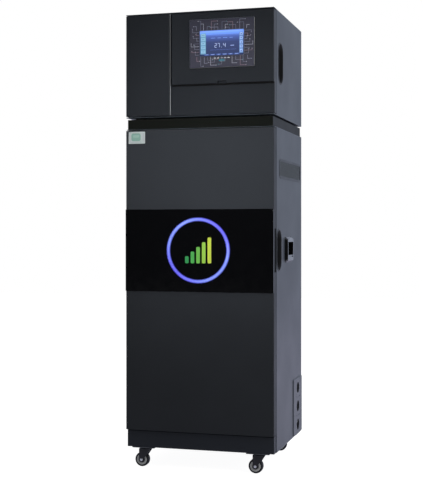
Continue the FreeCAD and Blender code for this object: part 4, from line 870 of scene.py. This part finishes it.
def bored_block(width, height, radius, rise, origin):
    """A block with a round bore: at each angle a the bore point r (cos a, sin a) faces the edge point
    (cos a, sin a) times the least of half the width over |cos a| and half the height over |sin a|."""
    angle = (np.arange(64) + 0.5) * np.pi / 32
    ray = np.stack([np.cos(angle), np.sin(angle)], 1)
    reach = np.minimum(width / 2 / np.abs(ray[:, 0]), height / 2 / np.abs(ray[:, 1]))
    edge = ray * reach[:, None] * mm
    bore = ray * radius * mm
    outside = ((edge, 0.0), (edge, rise - 0.5), (edge * (1 - 1 / width), rise))
    inside = ((bore * 1.02, rise), (bore, rise - 0.4), (bore, 0.0))
    rings = [np.column_stack([rim, np.full(len(rim), level * mm)]) for rim, level in outside + inside]
    return stacked(placed(rings, "right", origin), loop=True)


port_radius = 20.0
liner_depth = 16.0
block_size = (field_size[0] - 0.4, block_tall - 0.8)
block_places = [(plate_low.x, port_y, z) for z in port_levels]
bored = [bored_block(*block_size, port_radius, plate_rise, place) for place in block_places]
piece("bored_port_blocks", bored, "cabinet", port_coat, ["port_blocks"])
liner_rows = ((19.4, -liner_depth), (19.98, -liner_depth), (19.98, plate_rise - 0.2), (19.6, plate_rise))
liner_wall = [(r * mm, w * mm) for r, w in liner_rows]
liner_floor = [(19.5 * mm, w * mm) for w in (-liner_depth, 1.5 - liner_depth)]
liners = [turned(liner_wall, 64, "right", place, loop=True) for place in block_places]
liners += [turned(liner_floor, 48, "right", place) for place in block_places]
liner_rubber = moulded_plastic("black_epdm_liner", "#050506", 0.9, bump=0.1)
piece("port_liners", liners, "cabinet", liner_rubber)
plug_rows = [(r * mm, w * mm) for r, w in ((5.2, -14.6), (5.2, -2.0), (4.4, -1.0), (3.0, -0.8))]
plug_place = (plate_low.x, port_y + 7.0 * mm, port_levels[0] + 10.0 * mm)
pale_nylon = moulded_plastic("natural_nylon_plug", "#c3c6c9", 0.4)
piece("port_plug", [turned(plug_rows, 24, "right", plug_place)], "cabinet", pale_nylon)


# Inside the lower cabinet: the shelf and the white folded tray, four square polyethylene reagent bottles
# with ribbed caps, their silicone tubes, and the waste canister behind them.

tray_coat = coated("white_coat_tray", "#d9d9d3", 0.38, bump=0.10)
dress(tray_coat, "shelf", "component_tray")
polyethylene = moulded_plastic("blown_polyethylene", "#dfddcf", 0.36, bump=0.15, through=0.25)
cap_plastic = moulded_plastic("moulded_polypropylene_cap", "#2a4c93", 0.4)
silicone = moulded_plastic("silicone_tube", "#d9dbd8", 0.22, bump=0.05, through=0.4)
low, _, (_, bottle_middle, _), (row_length, bottle_side, bottle_height) = extent("reagent_bottles")
bottle_spacing = (row_length - bottle_side) / 3
bottle_columns = [(index - 1.5) * bottle_spacing * mm for index in range(4)]
bottle_insets = [
    (12, 12, 0.0),
    (3, 15, 1.5),
    (0, 16, 7.0),
    (0, 16, 40.0),
    (1.4, 15.5, 43.0),
    (1.4, 15.5, 138.0),
    (0, 16, 141.0),
    (0, 16, bottle_height - 26.0),
    (7, 20, bottle_height - 15.0),
    (24, 26, bottle_height - 6.0),
]
bottle_rows = [(bottle_side - inset, bottle_side - inset, r, level) for inset, r, level in bottle_insets]
bottle_rows += [(50, 50, 24.5, bottle_height - 1.5), (44, 44, 21.5, bottle_height)]
bottles = [moulded(bottle_rows, "up", (x, bottle_middle, low.z)) for x in bottle_columns]
piece("blown_bottles", bottles, "cabinet", polyethylene, ["reagent_bottles"])


def ribbed_cap(radius, height, ribs, facing, origin):
    """A screw cap: rings of radius r (share + depth / 2 cos(ribs a / 2) squared), smooth at foot and top."""
    angle = np.linspace(0, 2 * np.pi, ribs * 6, endpoint=False)
    tooth = np.cos(ribs * angle / 2) ** 2
    rows = ((0.95, 0.0, 0.0), (0.965, 0.04, 0.5), (0.965, 0.06, 0.86), (0.95, 0.02, 0.96), (0.86, 0.0, 1.0))
    rings = []
    for share, depth, level in rows:
        reach = radius * (share + depth * tooth / 2)
        rise = np.full(len(angle), level * height)
        rings.append(np.stack([reach * np.cos(angle), reach * np.sin(angle), rise], 1))
    return stacked(placed(rings, facing, origin))


cap_low, cap_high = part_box("bottle_caps")
cap_radius = (cap_high.y - cap_low.y) / 2
cap_height = cap_high.z - cap_low.z
caps = [ribbed_cap(cap_radius, cap_height, 28, "up", (x, bottle_middle, cap_low.z)) for x in bottle_columns]
piece("ribbed_caps", caps, "cabinet", cap_plastic, ["bottle_caps"])

tube_low, tube_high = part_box("reagent_tubes")
tube_radius = (tube_high.y - tube_low.y) / 2
tube_rows = [(tube_radius, 0.0), (tube_radius, tube_high.z - tube_low.z)]
tubes = [turned(tube_rows, 20, "up", (x, bottle_middle, tube_low.z)) for x in bottle_columns]
piece("suction_tubes", tubes, "cabinet", silicone, ["reagent_tubes"])

low, _, (tank_x, tank_y, _), (tank_width, tank_depth, tank_height) = extent("waste_tank")
tank_cap_height = 24.0
tank_cap_radius = 33.0
tank_top = tank_height - tank_cap_height
tank_insets = [(12, 12, 0.0), (0, 16, 6.0)]
for level in (70.0, 150.0, 230.0):
    tank_insets += [(0, 16, level), (8, 14, level + 5), (8, 14, level + 12), (0, 16, level + 17)]
tank_insets += [(0, 16, tank_top - 22), (16, 22, tank_top - 6), (50, 24, tank_top - 1)]
tank_rows = [(tank_width - inset, tank_depth - inset, r, level) for inset, r, level in tank_insets]
tank_rows += [(76, 76, 37, tank_top - 0.5), (62, 62, 30.5, tank_top)]
canister = moulded(tank_rows, "up", (tank_x, tank_y, low.z))
piece("blown_waste_canister", [canister], "cabinet", polyethylene, ["waste_tank"])
neck_place = (tank_x, tank_y, low.z + tank_top * mm)
tank_cap = ribbed_cap(tank_cap_radius * mm, tank_cap_height * mm, 36, "up", neck_place)
piece("waste_cap", [tank_cap], "cabinet", cap_plastic)


# The analysis parts on the tray: a milled PVC valve manifold, the peristaltic pump with its silicone tube
# over three rollers, and the digester, a glass vessel in an insulated aluminium housing.

pvc = moulded_plastic("milled_pvc_manifold", "#c9c8c0", 0.34)
dress(pvc, "valve_manifold")
dress(black_moulding, "pump_body")
rotor_acetal = moulded_plastic("acetal_rotor", "#c2c4c6", 0.32)
dress(rotor_acetal, "pump_rotor")

tube_low, tube_high, (tube_x, tube_y, _), _ = extent("pump_tube")
hose_radius = 3.0 * mm
tube_reach = (tube_high.x - tube_low.x) / 2 - hose_radius
arc_level = tube_high.z - hose_radius - tube_reach
turn = np.linspace(0, np.pi, 25)
out = np.stack([-np.cos(turn), np.sin(turn)], 1)
out = np.concatenate([out[:1], out, out[-1:]])
path = out * tube_reach + [tube_x, arc_level]
path[[0, -1], 1] = tube_low.z
round_way = np.arange(16) * np.pi / 8
swell = out[:, None, :] * np.cos(round_way)[None, :, None] * hose_radius
depth = np.broadcast_to(tube_y + np.sin(round_way) * hose_radius, swell.shape[:2])
tube_rings = np.stack([path[:, None, 0] + swell[..., 0], depth, path[:, None, 1] + swell[..., 1]], -1)
piece("round_pump_tube", [stacked(tube_rings)], "cabinet", silicone, ["pump_tube"])

manifold_low, _, (_, _, solenoid_level), _ = extent("valve_manifold")
coil_side = 27.6
coil_rows = [
    (coil_side - 1.6, coil_side - 1.6, 2.4, -26.0),
    (coil_side, coil_side, 3.0, -25.2),
    (coil_side, coil_side, 3.0, -3.8),
    (coil_side - 1.6, coil_side - 1.6, 2.4, -3.0),
]
coils = [moulded(coil_rows, "front", (x, manifold_low.y, solenoid_level)) for x in bottle_columns]
coil_plastic = moulded_plastic("encapsulated_solenoid_coil", "#1b2233", 0.45)
piece("solenoid_coils", coils, "cabinet", coil_plastic)


def screw(radius, facing, origin):
    """A pan-head screw with a shallow round drive: rings of falling radius, the last sunk in the head."""
    rows = ((1.0, 0.0), (1.0, 0.35), (0.86, 0.62), (0.5, 0.72), (0.42, 0.70), (0.40, 0.30))
    return turned([(radius * share, radius * level) for share, level in rows], 18, facing, origin)


tray_low, tray_high, (_, _, tray_level), _ = extent("component_tray")
_, pump_high, (pump_x, _, pump_z), _ = extent("pump_body")
digester_low, digester_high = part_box("digester_housing")
pump_face = pump_high.y - 6.0 * mm
pump_screw_span = 36.0 * mm
screws = []
for x in (tray_low.x + 14 * mm, tray_high.x - 14 * mm):
    for z in (tray_low.z + 40 * mm, tray_level, tray_high.z - 16 * mm):
        screws.append(screw(4.5 * mm, "front", (x, tray_low.y, z)))
for x in (digester_low.x + 12 * mm, digester_high.x - 12 * mm):
    for z in (digester_low.z + 12 * mm, digester_high.z - 12 * mm):
        screws.append(screw(3.5 * mm, "front", (x, digester_low.y, z)))
for x in bottle_columns:
    screws.append(screw(6.0 * mm, "front", (x, manifold_low.y, solenoid_level)))
for x in (-pump_screw_span, pump_screw_span):
    for z in (-pump_screw_span, pump_screw_span):
        screws.append(screw(3.0 * mm, "front", (pump_x + x, pump_face, pump_z + z)))
piece("pan_head_screws", screws, "cabinet", zinc_plate)

dress(satin_aluminium, "digester_housing", "power_supply")
vessel, tree, shader, place = material("borosilicate_glass")
film = add(tree, "TexNoise", {"Vector": place, "Scale": 60.0, "Detail": 3.0})
rough = add(tree, "MapRange", {0: film, 1: 0.4, 2: 0.8, 3: 0.02, 4: 0.10})
glass = {"Base Color": linear("#e9f2f0"), "Roughness": rough, "Transmission Weight": 0.92, "IOR": 1.47}
fill(shader, glass)
dress(vessel, "digester_tube")


# Inside the upper housing: the finned power supply, the rail with twelve terminals, the control unit with
# its row of sockets, and the cooling fan behind the slotted grille.

terminal_plastic = moulded_plastic("polyamide_terminal", "#9ea3a6", 0.46)
control_plastic = moulded_plastic("polycarbonate_control_case", "#26292d", 0.42)
dress(terminal_plastic, "terminal_rail")
dress(control_plastic, "control_unit")
dress(black_moulding, "fan_frame", "fan_rotor")

rail_low, _, (rail_middle, _, rail_level), _ = extent("terminal_rail")
control_low, control_high, (control_middle, _, _), _ = extent("control_unit")
terminal_pitch = 20.0 * mm
terminal_inks = ["#8f9597"] * 6 + ["#2f5f9a"] * 3 + ["#6f9a3c"] * 3
faces = []
face_inks = []


def face(rows, x, y, z, ink, steps):
    """One printed or moulded field on the front of the electric parts, and its ink."""
    faces.append(moulded(rows, "front", (x, y, z), steps))
    face_inks.append(ink)


for index, ink in enumerate(terminal_inks):
    x = rail_middle + (index - 5.5) * terminal_pitch
    face([(16.5, 26.0, 1.0, 0.0), (16.0, 25.5, 1.0, 0.5)], x, rail_low.y, rail_level, ink, 2)
    for offset in (-7.5 * mm, 7.5 * mm):
        spot = (x, rail_low.y - 0.45 * mm, rail_level + offset)
        face([(6, 6, 2.9, 0.0), (6, 6, 2.9, 0.15)], *spot, "#3c4042", 3)
control_front = control_low.y + 6.0 * mm
for index in range(6):
    spot = (control_middle + (index - 2.5) * 26.0 * mm, control_low.y, control_low.z + 15.0 * mm)
    face([(13, 6, 0.8, 0.0), (13, 6, 0.8, 0.1)], *spot, "#c8cacc", 2)
for index, ink in enumerate(("#3fbf62", "#3fbf62", "#d8a53a")):
    spot = (control_low.x + (16 + index * 10) * mm, control_front, control_high.z - 14 * mm)
    face([(4, 4, 1.9, 0.0), (4, 4, 1.9, 0.8)], *spot, ink, 3)
terminal_print = printed("moulded_terminal_faces", 0.45)
piece("terminal_faces", faces, "cabinet", terminal_print, inks=face_inks)


# The bounds of everything shown, apart from the floor.

low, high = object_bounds()
